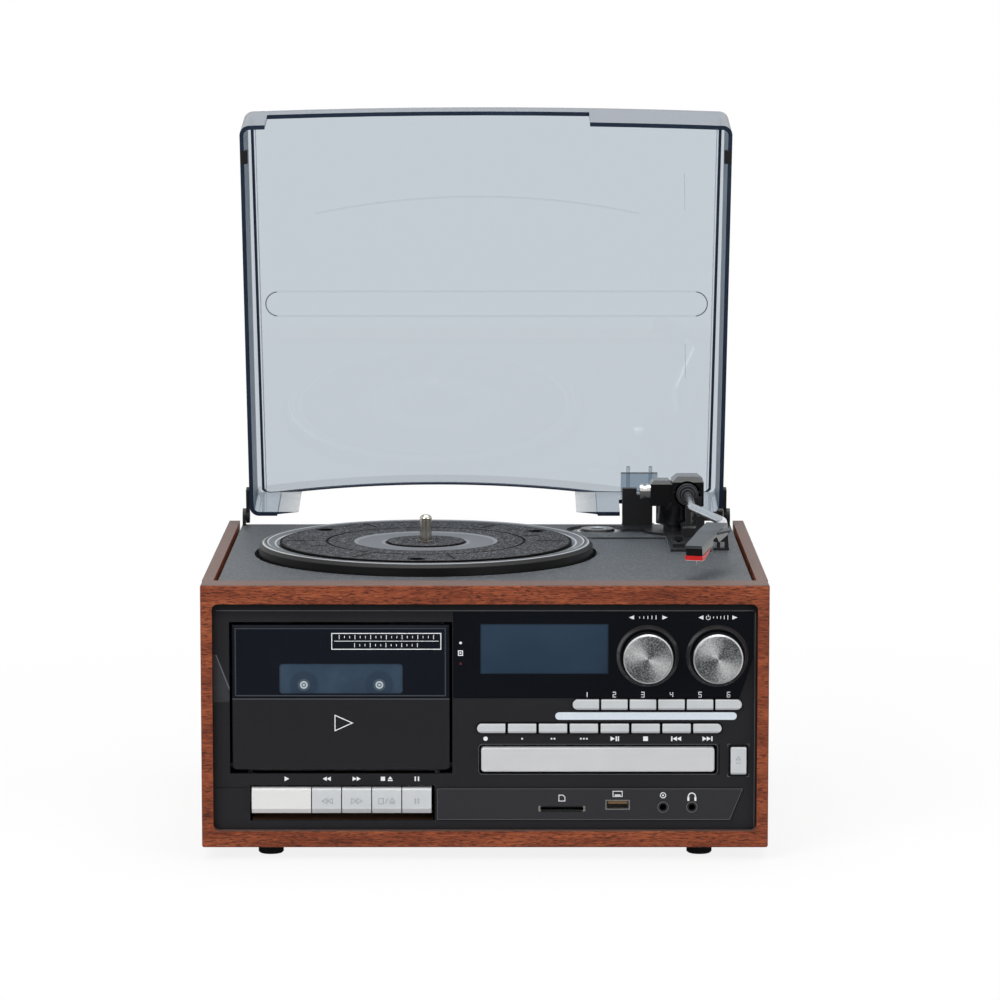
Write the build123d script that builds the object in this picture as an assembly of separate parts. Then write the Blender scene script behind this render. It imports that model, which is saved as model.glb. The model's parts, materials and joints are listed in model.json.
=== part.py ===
from build123d import *
import math
import os

# Stereo music centre: turntable, CD tray, cassette deck and radio in a wood cabinet.
# Millimetres, +Z up, the front faces -Y. Heights on the front are measured from the cabinet's
# bottom edge, depths from its front face, and heights on the top from the deck's surface.

# ---------------------------------------------------------------- cabinet
board = 6.5                     # side boards
cabinet_depth = 276.0
foot_height = 7.0
foot_radius = 7.2
foot_spacing = 244.0
foot_inset = 22.0
cleat = 8.0                     # rails on the side boards that carry the deck
cleat_y0 = 30.0
frame_depth = 18.0              # front frame, front to back
frame_top_rail = 10.9
frame_bottom_rail = 9.4
frame_corner = 3.5
base_thickness = 9.0
back_thickness = 3.0
back_inset = 2.0
edge_round = 1.2
fit_gap = 0.3                   # between pieces that only stand beside each other
running_gap = 0.05              # radial clearance of a shaft that turns
wall = 2.5                      # plastic mouldings
speaker_y = 212.0
speaker_z = 84.0
speaker_radius = 38.0
speaker_depth = 34.0
magnet_radius = 20.0
vent_radius = 33.0
vent_count = 9
vent_pitch = 7.0
vent_slot = 3.0
panel_vent_count = 13
panel_vent_pitch = 9.0
panel_vent = (3.0, 12.0)        # width and height
panel_vent_z = (95.0, 112.0)

# ---------------------------------------------------------------- front layout from left to right
flank = 10.9                    # fascia left of the cassette door
door_width = 122.7
door_to_lens = 2.3
lens_width = 168.6
lens_margin = 2.5               # fascia right of the display lens
inner_half = (flank + door_width + door_to_lens + lens_width + lens_margin) / 2
half = inner_half + board
door_x0 = flank - inner_half
door_x1 = door_x0 + door_width
lens_x0 = door_x1 + door_to_lens
lens_x1 = lens_x0 + lens_width
lens_slant_x = lens_x1 - 7.4
window_x0 = door_x0 + 26.6
window_width = 69.7
window_x1 = window_x0 + window_width
hub_spacing = 42.5
hub_x = door_x0 + 61.8          # middle of the two cassette hubs
key_count = 5
key_pitch = 17.0
key_width = 16.4
first_key_width = 33.4
key_end = 1.2                   # between the opening and the first key
keys_x0 = door_x0 + 9.7
keys_x1 = keys_x0 + key_end + first_key_width + (key_count - 1) * key_pitch + 1.9
knob_centres = (lens_x1 - 59.3, lens_x1 - 20.1)
knob_radius = 14.0
knob_ring_radius = 17.5
knob_out = 13.0
lcd_x0 = lens_x0 + 15.1
lcd_x1 = knob_centres[0] - knob_ring_radius - 4.7
function_count = 6
function_pitch = 16.1
function_width = 14.8
function_x0 = lens_x1 - 6.2 - (function_count - 1) * function_pitch - function_width
bar_x0, bar_x1 = function_x0 - 10.0, lens_x1 - 8.7
transport_count = 8
transport_gap = 1.53            # between neighbours
transport_x0 = lens_x0 + 13.2
transport_pitch = (lens_x1 - 17.5 - transport_x0 + transport_gap) / transport_count
transport_width = transport_pitch - transport_gap
eject_width = 8.8
eject_x1 = lens_x1 - 3.4
eject_x0 = eject_x1 - eject_width
tray_width = 131.7
tray_x1 = eject_x0 - 9.2
tray_x0 = tray_x1 - tray_width
strip_x0 = keys_x1 + 1.0
strip_x1 = lens_x1 - 5.0
strip_foot_x1 = strip_x1 - 7.3
sd_width = 26.8
sd_x0 = strip_x0 + 57.5
sd_x1 = sd_x0 + sd_width
usb_width = 14.1
usb_x0 = sd_x1 + 11.1
usb_x1 = usb_x0 + usb_width
jack_radius = 1.8
jack_centres = (usb_x1 + 18.6, usb_x1 + 34.9)

# ---------------------------------------------------------------- front layout from bottom to top, heights from
# the cabinet's bottom
open_z0 = frame_bottom_rail
strip_height = 18.2
strip_z0 = open_z0 + 5.7
strip_z1 = strip_z0 + strip_height
tray_height = 13.9
tray_z0 = strip_z1 + 9.7
tray_z1 = tray_z0 + tray_height
transport_height = 5.2
transport_z0 = tray_z1 + 8.3
transport_z1 = transport_z0 + transport_height
bar_height = 4.7
bar_z0 = transport_z1 + 1.9
bar_z1 = bar_z0 + bar_height
function_height = 5.8
function_z0 = bar_z1 + 1.5
function_z1 = function_z0 + function_height
lens_height = 48.6
lens_z0 = function_z1 + 0.7
lens_z1 = lens_z0 + lens_height
lens_slant_z = lens_z0 + 22.6
open_z1 = lens_z1 + 5.5
cabinet_height = open_z1 + frame_top_rail
door_z0 = tray_z0 + 0.9
door_z1 = lens_z1 - 6.8
window_height = 17.2
window_z1 = door_z1 - 22.1
window_z0 = window_z1 - window_height
hub_z = window_z0 + 5.0
keys_height = 20.3
keys_z0 = strip_z0 - 0.5
keys_z1 = keys_z0 + keys_height
key_z0 = keys_z0 + 4.7
key_z1 = keys_z1 - 1.2
lcd_height = 28.3
lcd_z0 = lens_z0 + 13.8
lcd_z1 = lcd_z0 + lcd_height
knob_z = lens_z0 + 24.0
eject_height = 15.5
eject_z0 = tray_z0 - 1.5
eject_z1 = eject_z0 + eject_height
sd_height = 3.5
sd_z0 = strip_z0 + 4.6
sd_z1 = sd_z0 + sd_height
usb_height = 5.9
usb_z0 = strip_z0 + 5.8
usb_z1 = usb_z0 + usb_height
jack_z = strip_z0 + 7.5

# ---------------------------------------------------------------- depths of the front's pieces
fascia_inset = 5.0
fascia_thickness = 3.0
door_gap = 1.5
door_sill_gap = 2.4
door_thickness = 4.0
door_proud = 1.0
door_axis_depth = 9.5
door_axis_height = 2.1          # above the door's lower edge
door_pin_radius = 1.5
pocket_inset = 8.0
pocket_depth_y = 15.0
lens_thickness = 1.5
button_out = 2.0
button_gap = 0.3
tray_out = 2.5
tray_length = 150.0
disc_radius = 60.0
key_out = 4.0
key_reach = 45.0                # from the key's face back to its shaft
key_shaft_drop = 6.6            # shaft below the key's top
ledge_depth = 30.0              # board strip under the keys
ledge_side_gap = 1.0
line_out_x = (60.0, 76.0)
line_out_z = 40.0
inlet_x, inlet_z = -100.0, 40.0

# ---------------------------------------------------------------- fine steps of the front
shallow = 0.4                   # depth of the front's shallow steps
flank_x0 = -inner_half + 1.5
flank_x1 = door_x0 - 0.8
facet_rise = 23.9
split_z = door_z0 + 41.5        # line between the door's two panels
split_width = 0.8
split_depth = 0.7
door_corner = 2.4
door_edge = 2.2                 # border round the door's upper panel
panel_out = 0.4

# ---------------------------------------------------------------- deck and platter
deck_drop = 1.5                 # deck below the boards' top edges
deck_side_gap = 2.0
deck_back_gap = 6.0
deck_thickness = 3.0
deck_rim = 9.0
deck_half = inner_half - deck_side_gap
platter_x = 116.0 - deck_half
platter_y = 143.5
platter_radius = 99.0
platter_top = 7.1
platter_skirt = 2.0             # skirt below the deck's surface
well_gap = 2.5
well_depth = 5.5
mat_radius = 86.5
mat_thickness = 1.5
groove_radius = 58.5
label_ring_radius = 43.0
hub_disc_radius = 23.0
spindle_radius = 3.6            # nose that a record goes over
spindle_stand = 15.5            # above the mat
spindle_round = 2.4
shaft_radius = 4.0              # below the nose
shaft_stand = 0.1               # its shoulder above the mat
hub_radius = 9.0
belt_ring_inset = 33.0          # drive ring inside the platter's edge
belt_ring_radius = platter_radius - belt_ring_inset
belt_ring_wall = 3.0
belt_ring_low = -3.2
pulley_radius = 6.0
pulley_flange = 1.2
pulley_offset = 12.0            # pulley's axis outside the belt ring
pulley_hole = 8.0
pulley_angle = 140.0            # seen from above, from +X
belt_thickness = 1.0
belt_height = 4.0
belt_low = -2.2                 # belt's lower edge from the deck
motor_radius = 14.0
motor_height = 20.0
washer = 1.0
adaptor_y = 247.0
adaptor_radius = 18.5
adaptor_bore = 4.0
pocket_depth = 3.5
band_y0, band_y1 = 138.0, 209.0
band_depth = 0.6
finger_holes = (33, 142, 267)   # angles round the mat
finger_hole_place = 78.0
finger_hole_radius = 4.0

# ---------------------------------------------------------------- tonearm
arm_x = deck_half - 34.7        # swivel axis
arm_y = 237.0
arm_height = 24.5               # tilt axis above the deck
adaptor_x = arm_x - 48.3
drum_radius = 12.5
drum_low = 5.5
drum_high = 20.0
yoke_x0, yoke_x1 = arm_x - 16.2, arm_x + 16.2
yoke_split = arm_x - 3.0        # between the yoke's two blocks
yoke_top = 35.0
yoke_depth = 25.0
tube_radius = 2.6
tube_x = arm_x + 6.2            # where the tube leaves the yoke
tilt_pin_radius = 1.5
tilt_pin_half = 9.6
rest_x = arm_x + 10.8
rest_y = 152.0
rest_clear = 0.3
stylus_x = arm_x + 3.0
stylus_y = 33.0
head_x = arm_x + 16.1           # tube's end in the headshell
head_y = 74.0
head_level = 22.8
head_tilt = 6.5
head_width = 12.6
head_length = 48.4
head_lead = 5.4                 # headshell in front of the needle
plate_top = 3.0                 # headshell's top above the tube's axis
plate_low = 1.0
neck_length = 15.0
cartridge_back = neck_length + 7.4
cartridge_half = 4.8
cartridge_low = -3.4
guard_low = -6.8
guard_back = cartridge_back + 5.8
needle_low = -10.2
tube_straight = 60.0            # before the S bend
elbow_back = 19.0               # bend behind the headshell
arm_pin_radius = 3.0
arm_ball_radius = 6.6
arm_base_radius = 21.0
arm_base_thickness = 1.5
arm_base_x0, arm_base_x1 = arm_x - 6.8, arm_x + 17.2
arm_base_y0 = 146.0
side_block_x0, side_block_x1 = arm_x - 32.6, arm_x - 14.0
side_block_y0, side_block_y1 = 257.0, 265.0
lift_x0, lift_x1 = arm_x + 2.2, arm_x + 14.7
lift_y0, lift_y1 = 199.0, 222.0
lift_height = 8.0
cue_x, cue_y = arm_x + 22.8, 156.0
cue_pin_height = 11.0
cue_pin_radius = 1.2
cue_top = 24.5
cue_reach = 5.3                 # pin and bracket to the right of the lever, inside the shut dust cover
switch_x, switch_y = arm_x - 1.3, 172.0
switch_box = (8.0, 34.0, 3.6)   # width, length, height
switch_slot = (2.6, 22.0)

# ---------------------------------------------------------------- dust cover
lid_open_angle = 81.5
lid_length = 248.0
lid_bow = 2.8
lid_front_half = deck_half - 2.2
lid_back_half = deck_half - 4.9
lid_height = 50.0
lid_corner = 6.0
lid_clear = 0.5                 # rim above the deck when shut
lid_back = cabinet_depth - 10.0  # back edge when shut
hinge_forward = 1.3             # axis behind the shut lid's back edge
hinge_height = 5.8              # axis above the deck
pin_radius = 2.0
arm_plate = 2.0                 # hinge arm's thickness
ear_width = 2.0
ear_radius = 4.6
notch_half = 98.5               # front notch, either side of the platter's middle
ridge_width = 0.9               # fine ridges inside the panel
ridge_height = 0.3
capsule_y = lid_back - 123.7
capsule_reach = lid_back_half - 8.7
capsule_width = 16.7
bow_x = -5.5
bow_half = 100.5
bow_rise = 10.7
bow_gap = 57.8                  # capsule's middle to the arch's ends
notch_left = 17.0               # front wall left under the notch
arch_x0, arch_x1 = platter_x - 94.1, platter_x + 104.5
arch_rise = 6.0
panel_cut_x0, panel_cut_x1 = arm_x - 34.0, arm_x + 14.4
panel_cut_left = 22.0
pad_x0, pad_x1 = arm_x - 32.3, arm_x - 9.3
pad_pins = (arm_x - 27.8, arm_x - 13.8)
bumper_place = 22.0             # bumpers behind the front edge

# ---------------------------------------------------------------- derived places
base_z = foot_height
top_z = base_z + cabinet_height
deck_z = top_z - deck_drop
deck_y0 = frame_depth + fit_gap
deck_y1 = cabinet_depth - deck_back_gap
back_y1 = cabinet_depth - back_inset
back_y0 = back_y1 - back_thickness
face_y = fascia_inset
fascia_back = fascia_inset + fascia_thickness
ledge = deck_z - deck_rim        # underside of the deck's rim
well_radius = platter_radius + well_gap
well_floor = deck_z - well_depth
pulley_reach = belt_ring_radius + belt_ring_wall + pulley_offset
pulley_x = platter_x + pulley_reach * math.cos(math.radians(pulley_angle))
pulley_y = platter_y + pulley_reach * math.sin(math.radians(pulley_angle))
tilt_y = arm_y - 4.0
head_turn = math.degrees(math.atan2(head_x - stylus_x, head_y - stylus_y))
hinge_y = lid_back + hinge_forward
hinge_z = deck_z + hinge_height
lid_rim = deck_z + lid_clear
lid_front = lid_back - lid_length
arm_plate_x = lid_back_half + fit_gap
ear_x = arm_plate_x + arm_plate + fit_gap
door_y = face_y - door_proud
door_axis_y = door_axis_depth
door_axis_z = base_z + door_z0 + door_axis_height
key_shaft_y = face_y - key_out + key_reach
key_shaft_z = base_z + key_z1 - key_shaft_drop
bay_y0 = fascia_back + 3.0      # front of both mechanisms
tray_floor = base_z + tray_z0 + 2.0
tray_half = (tray_x1 - tray_x0) / 2 - 2.0
tray_middle = (tray_x0 + tray_x1) / 2
disc_y = fascia_back + 8.0 + disc_radius
tape_y0 = bay_y0 + 17.5
tape_y1 = tape_y0 + 24.0


def facing(depth):
    """Plane at a depth that looks to the front: local x is +X and local y is +Z."""
    return Plane(origin=(0, depth, 0), x_dir=(1, 0, 0), z_dir=(0, -1, 0))


def slab(x0, x1, z0, z1, y0, y1, corner=0.0):
    """Rounded rectangle of the front view, heights from the cabinet's bottom, from depth y0 to y1."""
    width, height = x1 - x0, z1 - z0
    outline = RectangleRounded(width, height, corner) if corner else Rectangle(width, height)
    return extrude(facing(y1) * Pos((x0 + x1) / 2, base_z + (z0 + z1) / 2) * outline, y1 - y0)


def outline_slab(points, y0, y1):
    """Polygon of the front view, from depth y0 to y1."""
    outline = make_face(Polyline([(x, base_z + z) for x, z in points], close=True))
    return extrude(facing(y1) * outline, y1 - y0)


def block(x0, x1, y0, y1, z0, z1):
    return Pos((x0 + x1) / 2, (y0 + y1) / 2, (z0 + z1) / 2) * Box(x1 - x0, y1 - y0, z1 - z0)


def post(x, y, z0, z1, radius):
    return Pos(x, y, (z0 + z1) / 2) * Cylinder(radius, z1 - z0)


def rod_y(x, z, y0, y1, radius):
    return Pos(x, (y0 + y1) / 2, z) * Rot(90, 0, 0) * Cylinder(radius, y1 - y0)


def rod_x(y, z, x0, x1, radius):
    return Pos((x0 + x1) / 2, y, z) * Rot(0, 90, 0) * Cylinder(radius, x1 - x0)


def turned(points, x, y, z):
    """Solid of revolution about a vertical axis from (radius, height) points."""
    profile = make_face(Polyline([(r, 0, h) for r, h in points], close=True))
    return Pos(x, y, z) * revolve(profile, Axis.Z)


def front_edges(shape):
    return shape.faces().sort_by(Axis.Y)[0].outer_wire().edges()


# ---------------------------------------------------------------- cabinet
def make_front_frame():
    rail = slab(-half, half, 0, cabinet_height, 0, frame_depth, edge_round)
    rail -= slab(-inner_half, inner_half, open_z0, open_z1, -1, frame_depth + 1, frame_corner)
    return fillet(front_edges(rail), edge_round)


def make_side_board(side):
    shell = block(inner_half, half, frame_depth, cabinet_depth, base_z, top_z)
    for row in range(vent_count):
        z = base_z + speaker_z + (row - (vent_count - 1) / 2) * vent_pitch
        reach = math.sqrt(vent_radius ** 2 - (z - base_z - speaker_z) ** 2)
        slot = Pos(half - board / 2, speaker_y, z) * Rot(0, 90, 0) * extrude(
            SlotOverall(2 * reach, vent_slot, rotation=90), board, both=True)
        shell -= slot
    shell += block(inner_half - cleat, inner_half, cleat_y0, back_y1, ledge - cleat, ledge)
    return shell if side > 0 else mirror(shell, Plane.YZ)


def make_speaker(side):
    x = inner_half - fit_gap
    axis = Pos(x, speaker_y, base_z + speaker_z) * Rot(0, -90, 0)
    edge = speaker_radius
    body = axis * turned([(0, 7), (12, 8), (edge - 6, 1), (edge - 3, 0), (edge, 0), (edge, 4), (edge - 4, 5),
                          (magnet_radius, 22), (magnet_radius, speaker_depth), (0, speaker_depth)], 0, 0, 0)
    return body if side > 0 else mirror(body, Plane.YZ)


def make_base_board():
    """Bottom board, with the board strip that shows under the cassette keys."""
    board = block(-inner_half, inner_half, frame_depth, back_y0, base_z, base_z + base_thickness)
    x0, x1 = keys_x0 + ledge_side_gap, keys_x1 - ledge_side_gap
    top = base_z + keys_z0 - fit_gap
    board += block(x0, x1, frame_depth, fascia_back + ledge_depth, base_z, top)
    return board + block(x0, x1, fascia_back + fit_gap, frame_depth + 1.0, base_z + open_z0 + fit_gap, top)


def make_back_panel():
    reach = inner_half - fit_gap
    inside = reach - cleat
    panel = block(-reach, reach, back_y0, back_y1, base_z, ledge - cleat - fit_gap)
    panel += block(-inside, inside, back_y0, back_y1, ledge - cleat - fit_gap, ledge - fit_gap)
    width, height = panel_vent
    for column in range(panel_vent_count):
        x = (column - (panel_vent_count - 1) / 2) * panel_vent_pitch
        for z in panel_vent_z:
            panel -= block(x - width / 2, x + width / 2, back_y0 - 1, back_y1 + 1,
                           base_z + z - height / 2, base_z + z + height / 2)
    for x in line_out_x:
        panel -= rod_y(x, base_z + line_out_z, back_y0 - 1, back_y1 + 1, 4.2)
    panel -= block(inlet_x - 9, inlet_x + 9, back_y0 - 1, back_y1 + 1,
                   base_z + inlet_z - 6, base_z + inlet_z + 6)
    return panel


def make_feet():
    feet = []
    for x in (-foot_spacing / 2, foot_spacing / 2):
        for y in (foot_inset, cabinet_depth - foot_inset):
            foot = post(x, y, 0, foot_height, foot_radius)
            feet.append(chamfer(foot.edges().group_by(Axis.Z)[0], 0.8))
    return feet


# ---------------------------------------------------------------- deck
def make_top_deck():
    deck = block(-deck_half, deck_half, deck_y0, deck_y1, deck_z - deck_rim, deck_z)
    deck -= block(-deck_half + wall, deck_half - wall, deck_y0 + wall, deck_y1 - wall,
                  deck_z - deck_rim - 1, deck_z - deck_thickness)
    deck += post(platter_x, platter_y, well_floor - wall, deck_z - deck_thickness, well_radius + wall)
    deck -= post(platter_x, platter_y, well_floor, deck_z + 1, well_radius)
    deck -= post(pulley_x, pulley_y, well_floor - wall - 1, deck_z, pulley_hole)
    deck -= post(platter_x, platter_y, well_floor - wall - 1, deck_z, shaft_radius)
    pocket_floor = deck_z - pocket_depth
    deck += post(adaptor_x, adaptor_y, pocket_floor - wall, deck_z - deck_thickness, adaptor_radius + 1 + wall)
    deck -= post(adaptor_x, adaptor_y, pocket_floor, deck_z + 1, adaptor_radius + 0.5)
    deck += post(adaptor_x, adaptor_y, pocket_floor - wall, deck_z + 0.5, adaptor_bore - fit_gap)
    band = block(platter_x, arm_base_x0 - 1.0, band_y0, band_y1, deck_z - band_depth, deck_z + 1)
    band -= post(platter_x, platter_y, deck_z - 2, deck_z + 2, well_radius + 1.5)
    return deck - band


def make_platter():
    top = platter_top
    inner = platter_radius - 3.0
    low = washer + fit_gap - well_depth
    profile = [(shaft_radius + running_gap, low), (hub_radius, low), (hub_radius, top - 4.0),
               (belt_ring_radius, top - 4.0), (belt_ring_radius, belt_ring_low),
               (belt_ring_radius + belt_ring_wall, belt_ring_low),
               (belt_ring_radius + belt_ring_wall, top - 4.0), (inner, top - 4.0), (inner, -platter_skirt),
               (platter_radius, -platter_skirt), (platter_radius, top - 2.4), (platter_radius - 1.6, top - 0.7),
               (platter_radius - 3.6, top), (platter_radius - 5.0, top), (mat_radius + 1.6, top - 1.1),
               (mat_radius + 0.4, top - mat_thickness),
               (shaft_radius + running_gap, top - mat_thickness)]
    return turned(profile, platter_x, platter_y, deck_z)


def make_mat():
    low = 0.0
    high = mat_thickness
    out, into = groove_radius + 0.5, groove_radius - 0.5
    bore = shaft_radius + 0.4
    profile = [(bore, low), (mat_radius, low), (mat_radius, high), (out, high), (out, high - 0.5),
               (into, high - 0.5), (into, high), (label_ring_radius, high), (label_ring_radius - 3, high - 0.9),
               (hub_disc_radius, high - 0.9), (hub_disc_radius, high), (13.0, high), (10.0, high - 0.7),
               (bore, high - 0.7)]
    mat = turned(profile, platter_x, platter_y, deck_z + platter_top - mat_thickness)
    for angle in finger_holes:
        x = platter_x + finger_hole_place * math.cos(math.radians(angle))
        y = platter_y + finger_hole_place * math.sin(math.radians(angle))
        mat -= post(x, y, deck_z + platter_top - 1.0, deck_z + platter_top + 1, finger_hole_radius)
    return mat


def make_spindle():
    """Shaft that the platter turns on, with a shoulder, the nose for the record and a washer."""
    shoulder = deck_z + platter_top + shaft_stand
    nose = post(platter_x, platter_y, shoulder - 1.0, deck_z + platter_top + spindle_stand, spindle_radius)
    nose = fillet(nose.edges().group_by(Axis.Z)[-1], spindle_round)
    shaft = post(platter_x, platter_y, well_floor - wall, shoulder, shaft_radius)
    return nose + shaft + post(platter_x, platter_y, well_floor, well_floor + washer, 7.0)


def make_motor():
    top = well_floor - wall
    can = post(pulley_x, pulley_y, top - motor_height, top - 0.1, motor_radius)
    can = fillet(can.edges().group_by(Axis.Z)[0], 2.0)
    return can + post(pulley_x, pulley_y, top - 1, top + 0.6, 3.0)


def make_pulley():
    """Crowned pulley with a flange below the belt and one above it."""
    low, high = belt_low - 0.4, belt_low + belt_height + 0.4
    flange = pulley_radius + pulley_flange
    profile = [(0, low - 4.4), (2.0, low - 4.4), (2.0, low - 2.2), (flange, low - 2.2), (flange, low - 0.8),
               (pulley_radius, low), (pulley_radius, high), (pulley_radius + 0.4, high + 0.4), (0, high + 0.4)]
    return turned(profile, pulley_x, pulley_y, deck_z)


def make_belt():
    """Flat loop round the platter's belt ring and the motor pulley."""
    ring = belt_ring_radius + belt_ring_wall + fit_gap
    small = pulley_radius + fit_gap
    lean = math.degrees(math.acos((ring - small) / pulley_reach))

    def loop(extra):
        big, tiny = ring + extra, small + extra
        rise, fall = math.radians(lean), math.radians(-lean)
        wrap = Circle(big) + Pos(pulley_reach, 0) * Circle(tiny)
        wrap += make_face(Polyline([(big * math.cos(rise), big * math.sin(rise)),
                                    (pulley_reach + tiny * math.cos(rise), tiny * math.sin(rise)),
                                    (pulley_reach + tiny * math.cos(fall), tiny * math.sin(fall)),
                                    (big * math.cos(fall), big * math.sin(fall))], close=True))
        return wrap

    strip = extrude(loop(belt_thickness) - loop(0.0), belt_height)
    return Pos(platter_x, platter_y, deck_z + belt_low) * Rot(0, 0, pulley_angle) * strip


def make_adaptor():
    profile = [(adaptor_bore, 0), (adaptor_radius, 0), (adaptor_radius, 1.6), (14.0, 2.6), (11.0, 2.6),
               (10.0, 4.2), (5.5, 4.2), (adaptor_bore, 3.4)]
    return turned(profile, adaptor_x, adaptor_y, deck_z - pocket_depth)


# ---------------------------------------------------------------- tonearm
def make_tonearm_base():
    """Moulded base: pivot post, lift housing with its piston, speed switch box, arm rest and lever bracket."""
    low = deck_z
    top = deck_z + arm_base_thickness
    base = post(arm_x, arm_y, low, top, arm_base_radius)
    base += block(arm_base_x0, arm_base_x1, arm_base_y0, arm_y, low, top)
    base += block(side_block_x0 - 0.2, side_block_x1 + 1.2, arm_y - 1.0, side_block_y1, low, top)
    base += post(arm_x, arm_y, low, deck_z + drum_low - fit_gap, 8.0)
    base += post(arm_x, arm_y, low, deck_z + drum_low + 11.0, arm_pin_radius)
    base += block(side_block_x0, side_block_x1, side_block_y0, side_block_y1, low, deck_z + 20.0)
    base += block(side_block_x0, side_block_x0 + 8.8, side_block_y0, side_block_y1 - 1.5, low, deck_z + 24.0)
    lift = block(lift_x0, lift_x1, lift_y0, lift_y1, low, deck_z + lift_height)
    base += chamfer(lift.edges().group_by(Axis.Z)[-1], 1.0)
    base += block(lift_x1 - 5.0, lift_x1 - 0.2, lift_y1 - 9.0, lift_y1 - 4.0, low, deck_z + 24.0)
    base += post(tube_x, lift_y0 + 6.0, low, deck_z + arm_height - tube_radius - 2.0, 2.0)
    width, length, height = switch_box
    base += block(switch_x - width / 2, switch_x + width / 2, switch_y - length / 2, switch_y + length / 2,
                  low, deck_z + height)
    slot_width, slot_length = switch_slot
    base -= block(switch_x - slot_width / 2, switch_x + slot_width / 2, switch_y - slot_length / 2,
                  switch_y + slot_length / 2, top, deck_z + height + 1)
    return base + make_arm_rest() + make_lever_bracket()


def make_arm_rest():
    """Cradle that carries the tube's S bend, with its upturned outer end."""
    cradle = deck_z + head_level + 1.0 - tube_radius
    middle = rest_x
    shape = block(middle - 2.5, middle + 2.5, rest_y - 2.0, rest_y + 2.0, deck_z, cradle - 2.4)
    arm = block(middle - 5.0, middle + 7.0, rest_y - 2.0, rest_y + 2.0, cradle - 3.2, cradle - rest_clear)
    return shape + fillet(arm.edges().filter_by(Axis.Y), 1.0)


def make_lever_bracket():
    """Arched bracket of the lift lever: two splayed cheeks under a cross pin's eyes."""
    x, y = cue_x + 2.4, cue_y
    right = cue_x + cue_reach - x
    plate = make_face(Polyline([(x - 4.4, 0), (x + right, 0), (x + right - 1.0, cue_pin_height + 2.2),
                                (x - 3.6, cue_pin_height + 2.2)], close=True))
    arch = extrude(Plane(origin=(0, y + 3.0, deck_z), x_dir=(1, 0, 0), z_dir=(0, -1, 0)) * plate, 6.0)
    arch -= block(x - 2.4, x + right - 2.4, y - 4.0, y + 4.0, deck_z - 1.0, deck_z + 5.0)
    arch -= block(cue_x - 1.9, cue_x + 1.9, y - 4.0, y + 4.0, deck_z + 6.6, deck_z + 15.0)
    arch -= rod_x(y, deck_z + cue_pin_height, x - 8.0, x + 8.0, cue_pin_radius + running_gap)
    foot = block(x - 6.4, x + right, y - 4.4, y + 4.4, deck_z, deck_z + arm_base_thickness)
    return arch + foot


def make_yoke():
    drum = post(arm_x, arm_y, deck_z + drum_low, deck_z + drum_high, drum_radius)
    y0, y1 = arm_y - yoke_depth / 2, arm_y + yoke_depth / 2
    low = deck_z + drum_high - 3.0
    main = chamfer(block(yoke_split, yoke_x1, y0, y1, low, deck_z + yoke_top).edges().group_by(Axis.Z)[-1], 3.2)
    left = chamfer(block(yoke_x0, yoke_split, y0 + 2, y1 - 4, low, deck_z + yoke_top - 2.5)
                   .edges().group_by(Axis.Z)[-1], 2.2)
    yoke = drum + main + left
    yoke -= post(arm_x, arm_y, deck_z + drum_low - 1, deck_z + drum_low + 11.3, arm_pin_radius + running_gap)
    yoke -= rod_y(tube_x, deck_z + arm_height, y0 - 1, arm_y + 6.0, arm_ball_radius + 1.4)
    yoke -= rod_x(tilt_y, deck_z + arm_height, tube_x - tilt_pin_half - 0.3, tube_x + tilt_pin_half + 0.3,
                  tilt_pin_radius + running_gap)
    return yoke


def make_bearing():
    """Knurled bright bearing on the yoke's left side, waisted in the middle."""
    cap = rod_x(arm_y, deck_z + arm_height, yoke_x0 - 6.3, yoke_x0, 5.0)
    groove = rod_x(arm_y, deck_z + arm_height, yoke_x0 - 4.3, yoke_x0 - 2.3, 6.0)
    return cap - (groove - rod_x(arm_y, deck_z + arm_height, yoke_x0 - 5, yoke_x0 - 2, 4.2))


def head_frame():
    """Frame at the headshell's back end: local -Y points to the needle."""
    return Pos(head_x, head_y, deck_z + head_level) * Rot(0, 0, -head_turn) * Rot(head_tilt, 0, 0)


def make_tube():
    """S-shaped tube from the tilt bearing to the headshell."""
    z = deck_z + arm_height
    front = arm_y - yoke_depth / 2
    start = (tube_x, front + 2.0, z)
    bend = (tube_x, front - tube_straight, z - 0.2)
    elbow = head_frame() * Pos(0, elbow_back, 0)
    end = (head_x, head_y, deck_z + head_level)
    path = FilletPolyline(start, bend, elbow.position, end, radius=[46.0, 22.0])
    tube = sweep(Plane(origin=path @ 0, z_dir=path % 0) * Circle(tube_radius), path)
    ball = rod_y(tube_x, z, front - 2.5, arm_y + 3.0, arm_ball_radius)
    ball += rod_y(tube_x, z, front - 5.0, front - 2.5, 4.6)
    ball += rod_x(tilt_y, z, tube_x - tilt_pin_half, tube_x + tilt_pin_half, tilt_pin_radius)
    return tube + ball


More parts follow.
